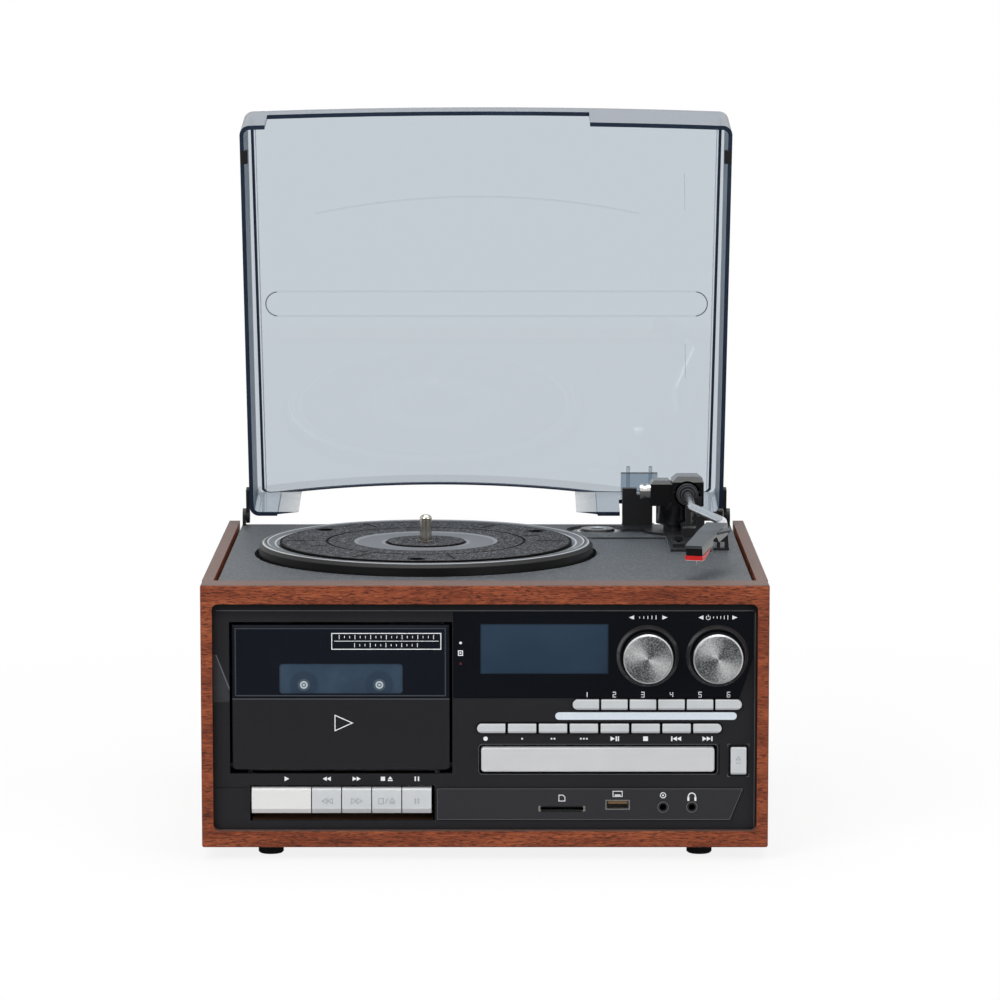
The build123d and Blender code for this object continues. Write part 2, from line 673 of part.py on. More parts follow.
def make_headshell():
    """Tapered shell: a neck round the tube, then a thin plate over the cartridge, with a finger lift."""
    width = head_width / 2
    profile = make_face(Polyline([(4.0, -3.4), (4.0, plate_top + 0.4), (-neck_length, plate_top + 0.4),
                                  (-neck_length - 8.0, plate_top), (-head_length, plate_top - 0.4),
                                  (-head_length, plate_low - 0.2), (-neck_length - 5.0, plate_low),
                                  (-neck_length, -3.4)], close=True))
    shell = extrude(Plane.YZ * profile, width, both=True)
    taper = make_face(Polyline([(-width, 5), (width, 5), (width - 0.3, -20), (width - 1.4, -head_length - 1),
                                (-width + 1.4, -head_length - 1), (-width + 0.3, -20)], close=True))
    shell &= Pos(0, 0, -6) * extrude(taper, 14)
    shell -= rod_y(0, 0, -9.0, 5.0, tube_radius + running_gap)
    lift = make_face(Polyline([(width - 1.0, -8.0), (width + 3.6, -6.0), (width + 5.4, -10.0),
                               (width - 1.0, -20.0)], close=True))
    return head_frame() * (shell + Pos(0, 0, plate_top - 1.2) * extrude(lift, 1.2))


def make_cartridge():
    """Cartridge body under the plate, with its tapered front and back."""
    front, back = 0.8 - head_length, -cartridge_back
    side = make_face(Polyline([(front, plate_low - 0.3), (back, plate_low - 0.1), (back, cartridge_low + 1.6),
                               (back - 3.0, cartridge_low), (front, cartridge_low)], close=True))
    body = extrude(Plane.YZ * side, cartridge_half, both=True)
    return head_frame() * chamfer(body.edges().filter_by(Axis.Z), 0.5)


def make_stylus():
    """Stylus guard: a wedge under the cartridge, and the needle with its cantilever."""
    front = -head_length + 0.2
    wedge = make_face(Polyline([(front, cartridge_low - 0.1), (-guard_back, cartridge_low - 0.1),
                                (-guard_back - 4.0, cartridge_low - 0.9), (front + 5.0, guard_low),
                                (front, guard_low + 0.6)], close=True))
    guard = extrude(Plane.YZ * wedge, cartridge_half + 0.3, both=True)
    needle_y = -head_length + head_lead
    tall = guard_low + 0.6 - needle_low
    needle = Pos(0, needle_y, needle_low + tall / 2) * Rot(180, 0, 0) * Cone(0.7, 0.15, tall)
    return head_frame() * (guard + needle)


def make_cue_lever():
    """Lift lever with a round-ended knob on a cross pin in its bracket."""
    x, y, z = cue_x, cue_y, deck_z + cue_pin_height
    lever = rod_x(y, z, x - 4.6, x + cue_reach, cue_pin_radius)
    lever += rod_x(y, z, x - 1.6, x + 1.6, 2.2)
    lever += block(x - 1.2, x + 1.2, y - 1.2, y + 1.2, z, z + 6.0)
    knob = post(x, y, deck_z + 17.0, deck_z + cue_top, 2.0)
    return lever + fillet(knob.edges().group_by(Axis.Z)[-1], 1.5)


def make_speed_switch():
    """Slide lug in its slot, with a ridged thumb piece."""
    height = switch_box[2]
    lug_half = switch_slot[0] / 2 - 0.1
    lug = block(switch_x - lug_half, switch_x + lug_half, switch_y - 2.5, switch_y + 2.5,
                deck_z + arm_base_thickness + 0.1, deck_z + height + 1.0)
    thumb = block(switch_x - 2.6, switch_x + 2.6, switch_y - 3.5, switch_y + 3.5,
                  deck_z + height + 0.1, deck_z + height + 2.6)
    for offset in (-2.0, 0.0, 2.0):
        thumb -= block(switch_x - 3.0, switch_x + 3.0, switch_y + offset - 0.4, switch_y + offset + 0.4,
                       deck_z + height + 2.0, deck_z + height + 3.0)
    return lug + thumb


# ---------------------------------------------------------------- dust cover, made shut, shown open
def lid_plan(inset):
    """Outline from above, with the bowed front edge, drawn in by inset."""
    wide, narrow = lid_front_half - inset, lid_back_half - inset
    y0, y1 = lid_front + lid_bow + inset, lid_back - inset
    edges = Polyline((-wide, y0), (-narrow, y1), (narrow, y1), (wide, y0))
    bow = ThreePointArc((wide, y0), (0, lid_front + inset), (-wide, y0))
    return make_face(edges + bow)


def opened(shape):
    return shape.rotate(Axis((0, hinge_y, hinge_z), (1, 0, 0)), -lid_open_angle)


def arch_cut():
    near, far = lid_back - 1.0, lid_back + 1.0
    sides = Polyline((arch_x0, near), (arch_x0, far), (arch_x1, far), (arch_x1, near))
    curve = ThreePointArc((arch_x1, near), ((arch_x0 + arch_x1) / 2, near - arch_rise), (arch_x0, near))
    return extrude(Pos(0, 0, lid_rim - 1) * make_face(sides + curve), lid_height + 2)


def make_lid():
    roof = lid_rim + lid_height
    low = lid_rim - 1
    outer = extrude(Pos(0, 0, lid_rim) * lid_plan(0.0), lid_height)
    outer = fillet(outer.edges().filter_by(Axis.Z), lid_corner)
    outer = fillet(outer.faces().sort_by(Axis.Z)[-1].outer_wire().edges(), 3.5)
    inner = extrude(Pos(0, 0, low) * lid_plan(wall), lid_height + 1 - wall)
    inner = fillet(inner.edges().filter_by(Axis.Z), lid_corner - wall)
    lid = outer - inner
    lid -= block(platter_x - notch_half, platter_x + notch_half, lid_front - 1, lid_front + 12,
                 low, roof - notch_left)
    lid -= arch_cut()
    lid -= block(panel_cut_x0, panel_cut_x1, lid_back - wall - 4, lid_back + 1, low, roof - panel_cut_left)
    lid += block(pad_x0, pad_x1, lid_back - 15.0, lid_back - wall - 1.0, roof - wall - 4.0, roof - wall)
    for x in pad_pins:
        lid += rod_y(x, roof - wall - 5.0, lid_back - 20.0, lid_back - 4.0, 1.1)
    return opened(lid + lid_ridges(roof - wall))


def lid_ridges(ceiling):
    """Fine moulded ridges inside the cover's panel: a long capsule across it and a shallow arch."""
    low = Pos(0, 0, ceiling - ridge_height)
    ring = SlotOverall(2 * capsule_reach, capsule_width)
    ring -= SlotOverall(2 * (capsule_reach - ridge_width), capsule_width - 2 * ridge_width)
    ridges = extrude(low * Pos(0, capsule_y) * ring, ridge_height + 0.1)
    ends = capsule_y - bow_gap
    arc = ThreePointArc((-bow_half, ends), (0, ends - bow_rise), (bow_half, ends))
    inner = ThreePointArc((bow_half, ends + ridge_width), (0, ends + ridge_width - bow_rise),
                          (-bow_half, ends + ridge_width))
    sides = Line((bow_half, ends), (bow_half, ends + ridge_width)) + Line(
        (-bow_half, ends + ridge_width), (-bow_half, ends))
    return ridges + extrude(low * Pos(bow_x, 0) * make_face(arc + sides + inner), ridge_height + 0.1)


def make_lid_fittings():
    arms = []
    bumper_y = lid_front + bumper_place
    rim_half = lid_front_half - 0.3
    for side in (-1, 1):
        x0, x1 = sorted((side * arm_plate_x, side * (arm_plate_x + arm_plate)))
        arm = block(x0, x1, lid_back - 16.0, hinge_y, hinge_z - 3.6, hinge_z + 4.0)
        arm += rod_x(hinge_y, hinge_z, x0, x1, ear_radius)
        p0, p1 = sorted((side * (arm_plate_x + arm_plate), side * (ear_x + ear_width)))
        arm += rod_x(hinge_y, hinge_z, p0, p1, pin_radius)
        arms.append(arm)
        b0, b1 = sorted((side * (rim_half - wall - 2.0), side * rim_half))
        c0, c1 = sorted((side * (rim_half - wall - 2.0), side * (rim_half - wall - 0.1)))
        bumper = block(b0, b1, bumper_y - 4.0, bumper_y + 4.0, lid_rim - 0.4, lid_rim)
        arms.append(bumper + block(c0, c1, bumper_y - 4.0, bumper_y + 4.0, lid_rim, lid_rim + 3.5))
    return [opened(arm) for arm in arms]


def make_hinge_brackets():
    brackets = []
    for side in (-1, 1):
        x0, x1 = sorted((side * ear_x, side * (ear_x + ear_width)))
        ear = block(x0, x1, hinge_y - ear_radius, hinge_y + 2.4, deck_z, hinge_z)
        ear += rod_x(hinge_y, hinge_z, x0, x1, ear_radius)
        ear -= rod_x(hinge_y, hinge_z, x0 - 1, x1 + 1, pin_radius + running_gap)
        brackets.append(ear)
    return brackets


# ---------------------------------------------------------------- fascia and what it carries
def lens_points(grow=0.0):
    return [(lens_x0 - grow, lens_z0 - grow), (lens_slant_x - 0.4 + grow, lens_z0 - grow),
            (lens_x1 + grow, lens_slant_z), (lens_x1 + grow, lens_z1 + grow), (lens_x0 - grow, lens_z1 + grow)]


def strip_points(grow=0.0):
    return [(strip_x0 - grow, strip_z0 - grow), (strip_foot_x1 + grow, strip_z0 - grow),
            (strip_x1 + grow, strip_z1 + grow), (strip_x0 - grow, strip_z1 + grow)]


def flank_points():
    """Slanted facet on the strip left of the cassette door."""
    return [(flank_x0, split_z + facet_rise), (flank_x1, split_z + 1.0), (flank_x1, split_z - 3.0),
            (flank_x0, split_z - 1.0)]


def row_slot(x0, count, pitch, width, z0, z1, y0, y1):
    """Opening behind a row of buttons, round at both ends."""
    tall = z1 - z0 + 2 * button_gap
    x1 = x0 + (count - 1) * pitch + width
    return slab(x0 - button_gap, x1 + button_gap, z0 - button_gap, z1 + button_gap, y0, y1, tall / 2 - 0.01)


def make_fascia():
    clear = fit_gap
    plate = slab(-inner_half + clear, inner_half - clear, open_z0 + clear, open_z1 - clear,
                 face_y, fascia_back, frame_corner - clear)
    plate += outline_slab(strip_points(), face_y - 1.0, face_y)
    plate -= outline_slab(flank_points(), face_y - 1.0, face_y + shallow)
    plate -= slab(flank_x0, keys_x0 - 1.0, strip_z1, strip_z1 + 0.6, face_y - 1.0, face_y + shallow)
    plate -= slab(tray_x0 - 1.8, tray_x1 + 3.1, tray_z0 - 1.8, tray_z1 + 1.2, face_y - 1.0, face_y + shallow, 2.0)
    plate += slab(bar_x0, bar_x1, bar_z0, bar_z1, face_y - 0.4, face_y, (bar_z1 - bar_z0) / 2 - 0.01)
    through = (face_y - 2.0, fascia_back + 1.0)
    plate -= slab(door_x0 - door_gap, door_x1 + door_gap, door_z0 - door_sill_gap, door_z1 + door_gap, *through)
    plate -= slab(keys_x0, keys_x1, keys_z0, keys_z1, *through)
    plate -= outline_slab(lens_points(0.2), face_y - 1.0, face_y + lens_thickness)
    plate -= slab(lcd_x0 - 2, lcd_x1 + 2, lcd_z0 - 2, lcd_z1 + 2, *through)
    for x in knob_centres:
        plate -= rod_y(x, base_z + knob_z, *through, 4.0)
    plate -= row_slot(function_x0, function_count, function_pitch, function_width, function_z0, function_z1, *through)
    plate -= row_slot(transport_x0, transport_count, transport_pitch, transport_width, transport_z0, transport_z1, *through)
    plate -= slab(tray_x0 - 1.1, tray_x1 + 1.1, tray_z0 - 1.1, tray_z1 + 1.1, *through, 1.5)
    plate -= slab(eject_x0 - button_gap, eject_x1 + button_gap, eject_z0 - button_gap, eject_z1 + button_gap,
                  *through, 1.0)
    plate -= slab(sd_x0, sd_x1, sd_z0, sd_z1, *through)
    plate -= slab(usb_x0, usb_x1, usb_z0, usb_z1, *through)
    for x in jack_centres:
        plate -= rod_y(x, base_z + jack_z, *through, 3.3)
    for side, x in ((-1, door_x0 - door_gap), (1, door_x1 + door_gap)):
        x0, x1 = sorted((x, x + side * 2.2))
        lug = block(x0, x1, fascia_back, door_axis_y + 3.0, door_axis_z - 3.0, door_axis_z + 3.0)
        plate += lug
        plate -= rod_x(door_axis_y, door_axis_z, x0 - 1, x1 + 1, door_pin_radius + running_gap)
    return plate


def make_lens():
    lens = outline_slab(lens_points(), face_y - 0.3, face_y + lens_thickness)
    for x in knob_centres:
        ring = rod_y(x, base_z + knob_z, face_y - 2.2, face_y + 0.2, knob_ring_radius)
        ring = chamfer(ring.edges().group_by(Axis.Y)[0], 1.4)
        lens += ring
        lens -= rod_y(x, base_z + knob_z, face_y - 3.0, face_y + 0.4, knob_radius + 1.0)
        lens -= rod_y(x, base_z + knob_z, face_y - 3.0, face_y + 2.0, 4.0)
    return lens


def make_lcd():
    return slab(lcd_x0 - 1.5, lcd_x1 + 1.5, lcd_z0 - 1.5, lcd_z1 + 1.5,
                face_y + lens_thickness + 0.1, face_y + lens_thickness + 5.0)


def make_knob(x):
    z = base_z + knob_z
    back = face_y - 0.4
    cap = rod_y(x, z, face_y - knob_out, back, knob_radius)
    cap = chamfer(cap.edges().group_by(Axis.Y)[0], 1.2)
    cap -= rod_y(x, z, face_y - 3.0, back + 1, knob_radius - 2.0)
    return cap + rod_y(x, z, face_y - 4.0, fascia_back + 6.0, 3.0)


def row_button(index, x0, count, pitch, width, z0, z1):
    """One button of a row: the outer ones have round outer ends."""
    left = x0 + index * pitch
    right = left + width
    low, high = face_y - button_out, fascia_back + 2.0
    cap = slab(left, right, z0, z1, low, high, 0.5)
    round_end = slab(x0, x0 + (count - 1) * pitch + width, z0, z1, low, high, (z1 - z0) / 2 - 0.01)
    if index in (0, count - 1):
        cap = cap & round_end
    return cap


def make_eject_button():
    return slab(eject_x0, eject_x1, eject_z0, eject_z1, face_y - button_out, fascia_back + 2.0, 0.8)


def key_span(index):
    if index == 0:
        return keys_x0 + key_end, keys_x0 + key_end + first_key_width
    start = keys_x0 + key_end + first_key_width + (key_pitch - key_width) + (index - 1) * key_pitch
    return start, start + key_width


def make_key(index):
    """Piano key: a face with a sloping foot on a lever that turns on the key shaft."""
    x0, x1 = key_span(index)
    y = face_y - key_out
    low, high = base_z + key_z0, base_z + key_z1
    side_view = make_face(Polyline([(y + 2.2, low), (y + 8.0, low), (y + 8.0, high - 9.6),
                                    (key_shaft_y + 3.0, high - 9.6), (key_shaft_y + 3.0, high - 3.6),
                                    (y + 8.0, high - 3.6), (y + 6.0, high), (y + 0.8, high), (y, high - 0.8),
                                    (y, low + 2.8)], close=True))
    key = extrude(Plane(origin=(x1, 0, 0), x_dir=(0, 1, 0), z_dir=(1, 0, 0)) * side_view, -(x1 - x0))
    return key - rod_x(key_shaft_y, key_shaft_z, x0 - 1, x1 + 1, 1.5 + running_gap)


def make_cassette_door():
    """Door plate with its window opening, pivot pins, and the pocket that holds the cassette."""
    back = door_y + door_thickness
    door = slab(door_x0, door_x1, door_z0, door_z1, door_y, back)
    door = fillet(door.edges().filter_by(Axis.Y).group_by(Axis.Z)[0], door_corner)
    door = fillet(front_edges(door), 1.2)
    panel = slab(door_x0 + door_edge, door_x1 - door_edge, split_z + split_width / 2, door_z1 - door_edge,
                 door_y - panel_out, door_y + 1.0)
    door += chamfer(front_edges(panel), panel_out / 2)
    door -= slab(door_x0 - 1, door_x1 + 1, split_z - split_width / 2, split_z + split_width / 2,
                 door_y - 1, door_y + split_depth)
    low = base_z + door_z0 + 4.6
    door -= slab(window_x0, window_x1, window_z0, window_z1, door_y - 1, back + 1, 2.0)
    for x0 in (door_x0 + pocket_inset, door_x1 - pocket_inset - 2.0):
        door += block(x0, x0 + 2.0, back, back + pocket_depth_y, low, low + 56.0)
    door += block(door_x0 + pocket_inset, door_x1 - pocket_inset, back, back + pocket_depth_y, low, low + 2.0)
    for side, x in ((-1, door_x0), (1, door_x1)):
        door += block(*sorted((x - side * pocket_inset, x)), back - 0.5, door_axis_y + 2.0,
                      door_axis_z - 1.8, door_axis_z + 2.0)
        pin = sorted((x - side * pocket_inset, x + side * 3.2))
        door += rod_x(door_axis_y, door_axis_z, *pin, door_pin_radius)
    return door


def make_door_window():
    rim = running_gap
    return slab(window_x0 + rim, window_x1 - rim, window_z0 + rim, window_z1 - rim,
                door_y + 0.4, door_y + 2.4, 1.9)


# ---------------------------------------------------------------- compact disc drive
def make_tray():
    """Disc tray with its front plate, a 120 mm well and the slot for the pickup."""
    front = slab(tray_x0, tray_x1, tray_z0, tray_z1, face_y - tray_out, fascia_back, 1.7)
    front = fillet(front_edges(front), 0.9)
    y1 = fascia_back + tray_length
    x0, x1 = tray_middle - tray_half, tray_middle + tray_half
    plate = block(x0, x1, fascia_back, y1, tray_floor, tray_floor + 5.0)
    plate -= post(tray_middle, disc_y, tray_floor + 2.6, tray_floor + 6.0, disc_radius + 1.0)
    plate -= post(tray_middle, disc_y, tray_floor + 1.6, tray_floor + 6.0, 41.0)
    plate -= block(tray_middle - 17.0, tray_middle + 17.0, disc_y - 17.0, y1 + 1.0, tray_floor - 1.0,
                   tray_floor + 6.0)
    return front + plate


def make_cd_mechanism():
    """Chassis under the tray with its side rails, disc motor and pickup."""
    low = base_z + tray_z0 - 12.0
    x0, x1 = tray_middle - tray_half - 4.0, tray_middle + tray_half + 4.0
    y0, y1 = bay_y0, bay_y0 + tray_length + 6.0
    chassis = block(x0, x1, y0, y1, low, low + 2.5)
    for side_x0 in (x0, x1 - 3.0):
        chassis += block(side_x0, side_x0 + 3.0, y0, y1, low, tray_floor + 8.0)
    for rail_x0 in (x0 + 3.0, x1 - 6.0):
        chassis += block(rail_x0, rail_x0 + 3.0, y0, y1, tray_floor - 3.0, tray_floor - fit_gap)
    chassis += block(x0, x1, y1 - 3.0, y1, low, tray_floor + 8.0)
    chassis += post(tray_middle, disc_y, low + 2.5, low + 8.0, 11.0)
    chassis += block(tray_middle - 12.0, tray_middle + 12.0, disc_y + 18.0, disc_y + 42.0, low + 2.5, low + 9.0)
    bridge = block(x0, x1, disc_y - 12.0, disc_y + 12.0, tray_floor + 6.5, tray_floor + 8.5)
    chassis += bridge + post(tray_middle, disc_y, tray_floor + 5.6, tray_floor + 8.0, 14.0)
    for x in (x0 + 8.0, x1 - 8.0):
        for y in (y0 + 10.0, y1 - 10.0):
            chassis += post(x, y, base_z + base_thickness, low, 3.0)
    return chassis


# ---------------------------------------------------------------- cassette mechanism
def make_tape_mechanism():
    """Chassis behind the cassette with the head, guide pins, motor and the keys' shaft in two cheeks."""
    x0, x1 = door_x0 + 4.0, door_x1 - 4.0
    chassis = block(x0, x1, tape_y0, tape_y0 + 3.0, base_z + base_thickness + 30.0, base_z + door_z1 - 4.0)
    chassis += block(x0, x1, tape_y0 + 3.0, tape_y1, base_z + door_z1 - 7.0, base_z + door_z1 - 4.0)
    chassis += block(hub_x - 9.0, hub_x + 9.0, tape_y0 - 9.0, tape_y0, base_z + 58.0, base_z + 68.0)
    for offset in (-32.0, 32.0):
        chassis += rod_y(hub_x + offset, base_z + 66.0, tape_y0 - 10.0, tape_y0, 1.4)
    chassis += rod_y(hub_x + 36.0, base_z + 110.0, tape_y0 + 3.0, tape_y0 + 27.0, 16.0)
    for offset in (-hub_spacing / 2, hub_spacing / 2):
        chassis -= rod_y(hub_x + offset, base_z + hub_z, tape_y0 - 1, tape_y0 + 4, 1.5 + running_gap)
    for cheek_x0 in (keys_x0 - 2.4, keys_x1 - 0.2):
        chassis += block(cheek_x0, cheek_x0 + 2.6, tape_y0, key_shaft_y + 5.0, base_z + base_thickness,
                         base_z + base_thickness + 34.0)
    chassis += rod_x(key_shaft_y, key_shaft_z, keys_x0, keys_x1, 1.5)
    return chassis


def make_tape_hub(side):
    x, z = hub_x + side * hub_spacing / 2, base_z + hub_z
    hub = rod_y(x, z, tape_y0 - 10.0, tape_y0 - 0.4, 3.6)
    hub = fillet(hub.edges().group_by(Axis.Y)[0], 1.6)
    for step in range(3):
        fin = block(-0.8, 0.8, tape_y0 - 8.0, tape_y0 - 1.4, 0.0, 4.9)
        hub += Pos(x, 0, z) * Rot(0, step * 120.0, 0) * fin
    flange = rod_y(x, z, tape_y0 - 1.8, tape_y0 - 0.4, 9.5)
    return hub + flange + rod_y(x, z, tape_y0 - 1, tape_y0 + 5.0, 1.5)


# ---------------------------------------------------------------- boards and sockets
def make_main_board():
    low = base_z + base_thickness + 5.0
    board_x0, board_x1 = -15.0, 145.0
    y0, y1 = 178.0, 262.0
    plate = block(board_x0, board_x1, y0, y1, low, low + 1.6)
    for x in (board_x0 + 5, board_x1 - 5):
        for y in (y0 + 5, y1 - 5):
            plate += post(x, y, base_z + base_thickness, low, 3.0)
    plate += block(20, 52, 190, 222, low + 1.6, low + 24.0)
    for x, y, r, h in ((70, 195, 8, 25), (90, 195, 8, 25), (112, 200, 5, 12), (0, 240, 5, 12)):
        plate += post(x, y, low + 1.6, low + 1.6 + h, r)
    plate += block(-8, 10, 195, 225, low + 1.6, low + 9.0)
    return plate


def make_front_board():
    """Circuit board behind the buttons and the knobs' shafts."""
    y0 = fascia_back + 6.0
    plate = slab(lens_x0 + 3.6, lens_x1, tray_z1 + 3.0, lens_z1 - 2.0, y0, y0 + 1.6)
    for x in knob_centres:
        plate += slab(x - 8, x + 8, knob_z - 8, knob_z + 8, y0 + 1.6, y0 + 9.0)
        plate -= rod_y(x, base_z + knob_z, y0 - 1, y0 + 6.0, 3.0 + running_gap)
    for x in (lcd_x0 + 2, lcd_x1 - 2):
        plate += rod_y(x, base_z + (lcd_z0 + lcd_z1) / 2, face_y + lens_thickness + 5.0, y0, 2.0)
    return plate


def make_sockets():
    low_y = face_y - 1.0
    usb = slab(usb_x0 + 0.1, usb_x1 - 0.1, usb_z0 + 0.1, usb_z1 - 0.1, low_y, face_y + 15.0)
    usb -= slab(usb_x0 + 0.8, usb_x1 - 0.8, usb_z0 + 0.7, usb_z1 - 0.7, low_y - 1, face_y + 13.0)
    usb += slab(usb_x0 + 1.6, usb_x1 - 1.6, usb_z1 - 2.6, usb_z1 - 0.7, low_y + 1.5, face_y + 13.0)
    card = slab(sd_x0 + 0.1, sd_x1 - 0.1, sd_z0 + 0.1, sd_z1 - 0.1, low_y + 0.6, face_y + 26.0)
    card -= slab(sd_x0 + 1.2, sd_x1 - 1.2, sd_z0 + 0.8, sd_z1 - 0.8, low_y - 1, face_y + 24.0)
    solids = [usb, card]
    for x in jack_centres:
        barrel = rod_y(x, base_z + jack_z, low_y - 0.5, face_y + 14.0, 3.2)
        solids.append(barrel - rod_y(x, base_z + jack_z, low_y - 1, face_y + 12.5, jack_radius))
    board_y0 = fascia_back + 0.4
    solids.append(slab(sd_x0 - 4.1, jack_centres[1] + 3.0, usb_z0 - 4.0, usb_z0 - 1.6, board_y0, board_y0 + 26.0))
    for x in line_out_x:
        jack = rod_y(x, base_z + line_out_z, back_y0 - 12.0, back_y1 + 7.0, 4.1)
        jack += rod_y(x, base_z + line_out_z, back_y1, back_y1 + 1.5, 5.5)
        solids.append(jack - rod_y(x, base_z + line_out_z, back_y1 - 3.0, back_y1 + 8.0, 1.6))
    z = base_z + inlet_z
    inlet = block(inlet_x - 8.9, inlet_x + 8.9, back_y0 - 14.0, back_y1, z - 5.9, z + 5.9)
    inlet -= block(inlet_x - 7.4, inlet_x + 7.4, back_y1 - 12.0, back_y1 + 1, z - 4.2, z + 4.2)
    for dx in (-4.3, 4.3):
        inlet += rod_y(inlet_x + dx, z, back_y1 - 12.0, back_y1 - 2.0, 1.2)
    solids.append(inlet)
    return solids


# ---------------------------------------------------------------- every piece under its own name
pieces = {
    "front_frame": make_front_frame(),
    "side_boards": [make_side_board(-1), make_side_board(1)],
    "base_board": make_base_board(),
    "back_panel": make_back_panel(),
    "feet": make_feet(),
    "speakers": [make_speaker(-1), make_speaker(1)],
    "top_deck": make_top_deck(),
    "spindle": make_spindle(),
    "platter": make_platter(),
    "platter_mat": make_mat(),
    "drive_motor": make_motor(),
    "motor_pulley": make_pulley(),
    "drive_belt": make_belt(),
    "adaptor_45": make_adaptor(),
    "tonearm_base": make_tonearm_base(),
    "tonearm_yoke": make_yoke(),
    "arm_bearing": make_bearing(),
    "tonearm_tube": make_tube(),
    "headshell": make_headshell(),
    "cartridge": make_cartridge(),
    "stylus": make_stylus(),
    "cue_lever": make_cue_lever(),
    "speed_switch": make_speed_switch(),
    "dust_cover": make_lid(),
    "lid_fittings": make_lid_fittings(),
    "hinge_brackets": make_hinge_brackets(),
    "fascia": make_fascia(),
    "display_lens": make_lens(),
    "lcd": make_lcd(),
    "tuning_knob": make_knob(knob_centres[0]),
    "volume_knob": make_knob(knob_centres[1]),
    "cassette_door": make_cassette_door(),
    "door_window": make_door_window(),
    "tape_mechanism": make_tape_mechanism(),
    "left_tape_hub": make_tape_hub(-1),
    "right_tape_hub": make_tape_hub(1),
    "cd_tray": make_tray(),
    "cd_mechanism": make_cd_mechanism(),
    "open_close_button": make_eject_button(),
    "circuit_boards": [make_main_board(), make_front_board()],
    "sockets": make_sockets(),
}
for number in range(function_count):
    pieces[f"function_button_{number + 1}"] = row_button(number, function_x0, function_count, function_pitch,
                                                         function_width, function_z0, function_z1)
for number in range(transport_count):
    pieces[f"transport_button_{number + 1}"] = row_button(number, transport_x0, transport_count, transport_pitch,
                                                          transport_width, transport_z0, transport_z1)
for number in range(key_count):
    pieces[f"cassette_key_{number + 1}"] = make_key(number)

# ---------------------------------------------------------------- origin: floor, middle of the whole set
shapes = {name: Compound(children=piece) if isinstance(piece, list) else piece
          for name, piece in pieces.items()}
rear = max(shape.bounding_box().max.Y for shape in shapes.values())
front = min(shape.bounding_box().min.Y for shape in shapes.values())
shift = -(front + rear) / 2
os.makedirs("parts", exist_ok=True)
for name, shape in shapes.items():
    export_step(Pos(0, shift, 0) * shape, f"parts/{name}.step")
print("pieces", len(shapes), "front", round(front, 3), "rear", round(rear, 3), "shift", round(shift, 4))
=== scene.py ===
import json
import math

import bmesh
import bpy
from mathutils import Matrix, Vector


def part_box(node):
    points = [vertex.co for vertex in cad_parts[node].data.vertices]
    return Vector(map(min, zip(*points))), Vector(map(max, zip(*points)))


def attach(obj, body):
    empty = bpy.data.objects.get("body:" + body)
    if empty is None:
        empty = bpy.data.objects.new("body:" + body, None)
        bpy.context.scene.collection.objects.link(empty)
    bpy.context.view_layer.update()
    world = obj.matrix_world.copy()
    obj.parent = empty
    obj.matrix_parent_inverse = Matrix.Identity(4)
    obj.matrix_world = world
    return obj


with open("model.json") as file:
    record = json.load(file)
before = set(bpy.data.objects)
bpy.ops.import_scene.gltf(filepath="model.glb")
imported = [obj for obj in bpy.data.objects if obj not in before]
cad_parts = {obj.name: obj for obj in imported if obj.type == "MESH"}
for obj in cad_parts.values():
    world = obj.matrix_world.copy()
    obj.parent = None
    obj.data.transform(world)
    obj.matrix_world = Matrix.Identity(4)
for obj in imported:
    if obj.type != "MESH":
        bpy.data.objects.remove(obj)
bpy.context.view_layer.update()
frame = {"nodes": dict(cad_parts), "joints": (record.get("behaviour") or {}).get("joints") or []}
nodes = frame["nodes"]

# -------------------- places, in millimetres
MM = 0.001
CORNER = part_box("front_frame")[0]  # lowest front corner of the cabinet
DECK_DROP = 1.5  # deck below the side boards' upper edge
DECK_Z = (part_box("side_boards")[1].z - CORNER.z) / MM - DECK_DROP  # deck above the cabinet's bottom

# how far each surface of the front lies behind the cabinet's front face
FACE = 5.0
LENS_FACE = 4.7
BAR_FACE = 4.6
DOOR_FACE = 4.0
DOOR_PANEL = 3.6  # the door's raised upper panel
STRIP_FACE = 4.0

# the front's parts: x, and heights above the cabinet's bottom
KNOBS = ("tuning_knob", "volume_knob")
KNOB_Z = 109.0
KNOB_MARKS_Z = 130.9
NUMBERS_Z = 86.9
ROW_MARKS_Z = 61.6
KEY_MARKS_Z = 38.6
KEY_Z = 26.6
HUBS_X, HUBS_Z = (-102.1, -59.5), 92.5
DOOR_SPLIT_Z = 85.4
FLANK_Z0, FLANK_Z1 = 82.6, 109.5
STRIP_X0, STRIP_X1, STRIP_Z0, STRIP_Z1 = -27.0, 138.4, 15.4, 33.0
CARD_X, PORT_X, LINE_IN_X, PHONES_X = 43.5, 75.0, 100.7, 117.0
JACKS_Z = 22.6
LAMPS_X = -13.7

# rectangles on the front, as x0, x1, z0 and z1
DISPLAY_WINDOW, DISPLAY_INNER = (-2.5, 69.5, 98.8, 127.1), (-1.9, 68.9, 99.4, 126.5)
# outer and inner edge of the door's painted highlight line
DOOR_HIGHLIGHT, DOOR_HIGHLIGHT_INNER = (-140.9, -21.9, 86.1, 125.1), (-140.2, -22.6, 86.8, 124.4)
# recesses round the tray and the open button, painted dark as shade
TRAY_SHADE, OPEN_BUTTON_SHADE = (-3.9, 132.7, 41.2, 58.1), (137.7, 148.7, 40.2, 58.2)

# the deck's joints by depth, and rings on the platter (painted highlight lines and a dark seam) and on its
# mat by reach; a third number is the softness
JOINTS, JOINTS_X = ((137.8, 141.4), (205.8, 209.4)), (64.0, 116.0)
BEVEL_UP = 4.4
BEVEL_HIGHLIGHTS, BEVEL_SEAM = ((96.0, 96.7), (88.6, 89.6, 0.4), (93.2, 94.0)), (94.3, 94.9)
LABEL_RING = (24.0, 42.5)
LABEL_RIMS = ((24.0, 26.2, 1.2), (40.5, 42.5, 0.8))
MAT_GROOVES = ((57.7, 59.3), (85.2, 87.2, 0.4))

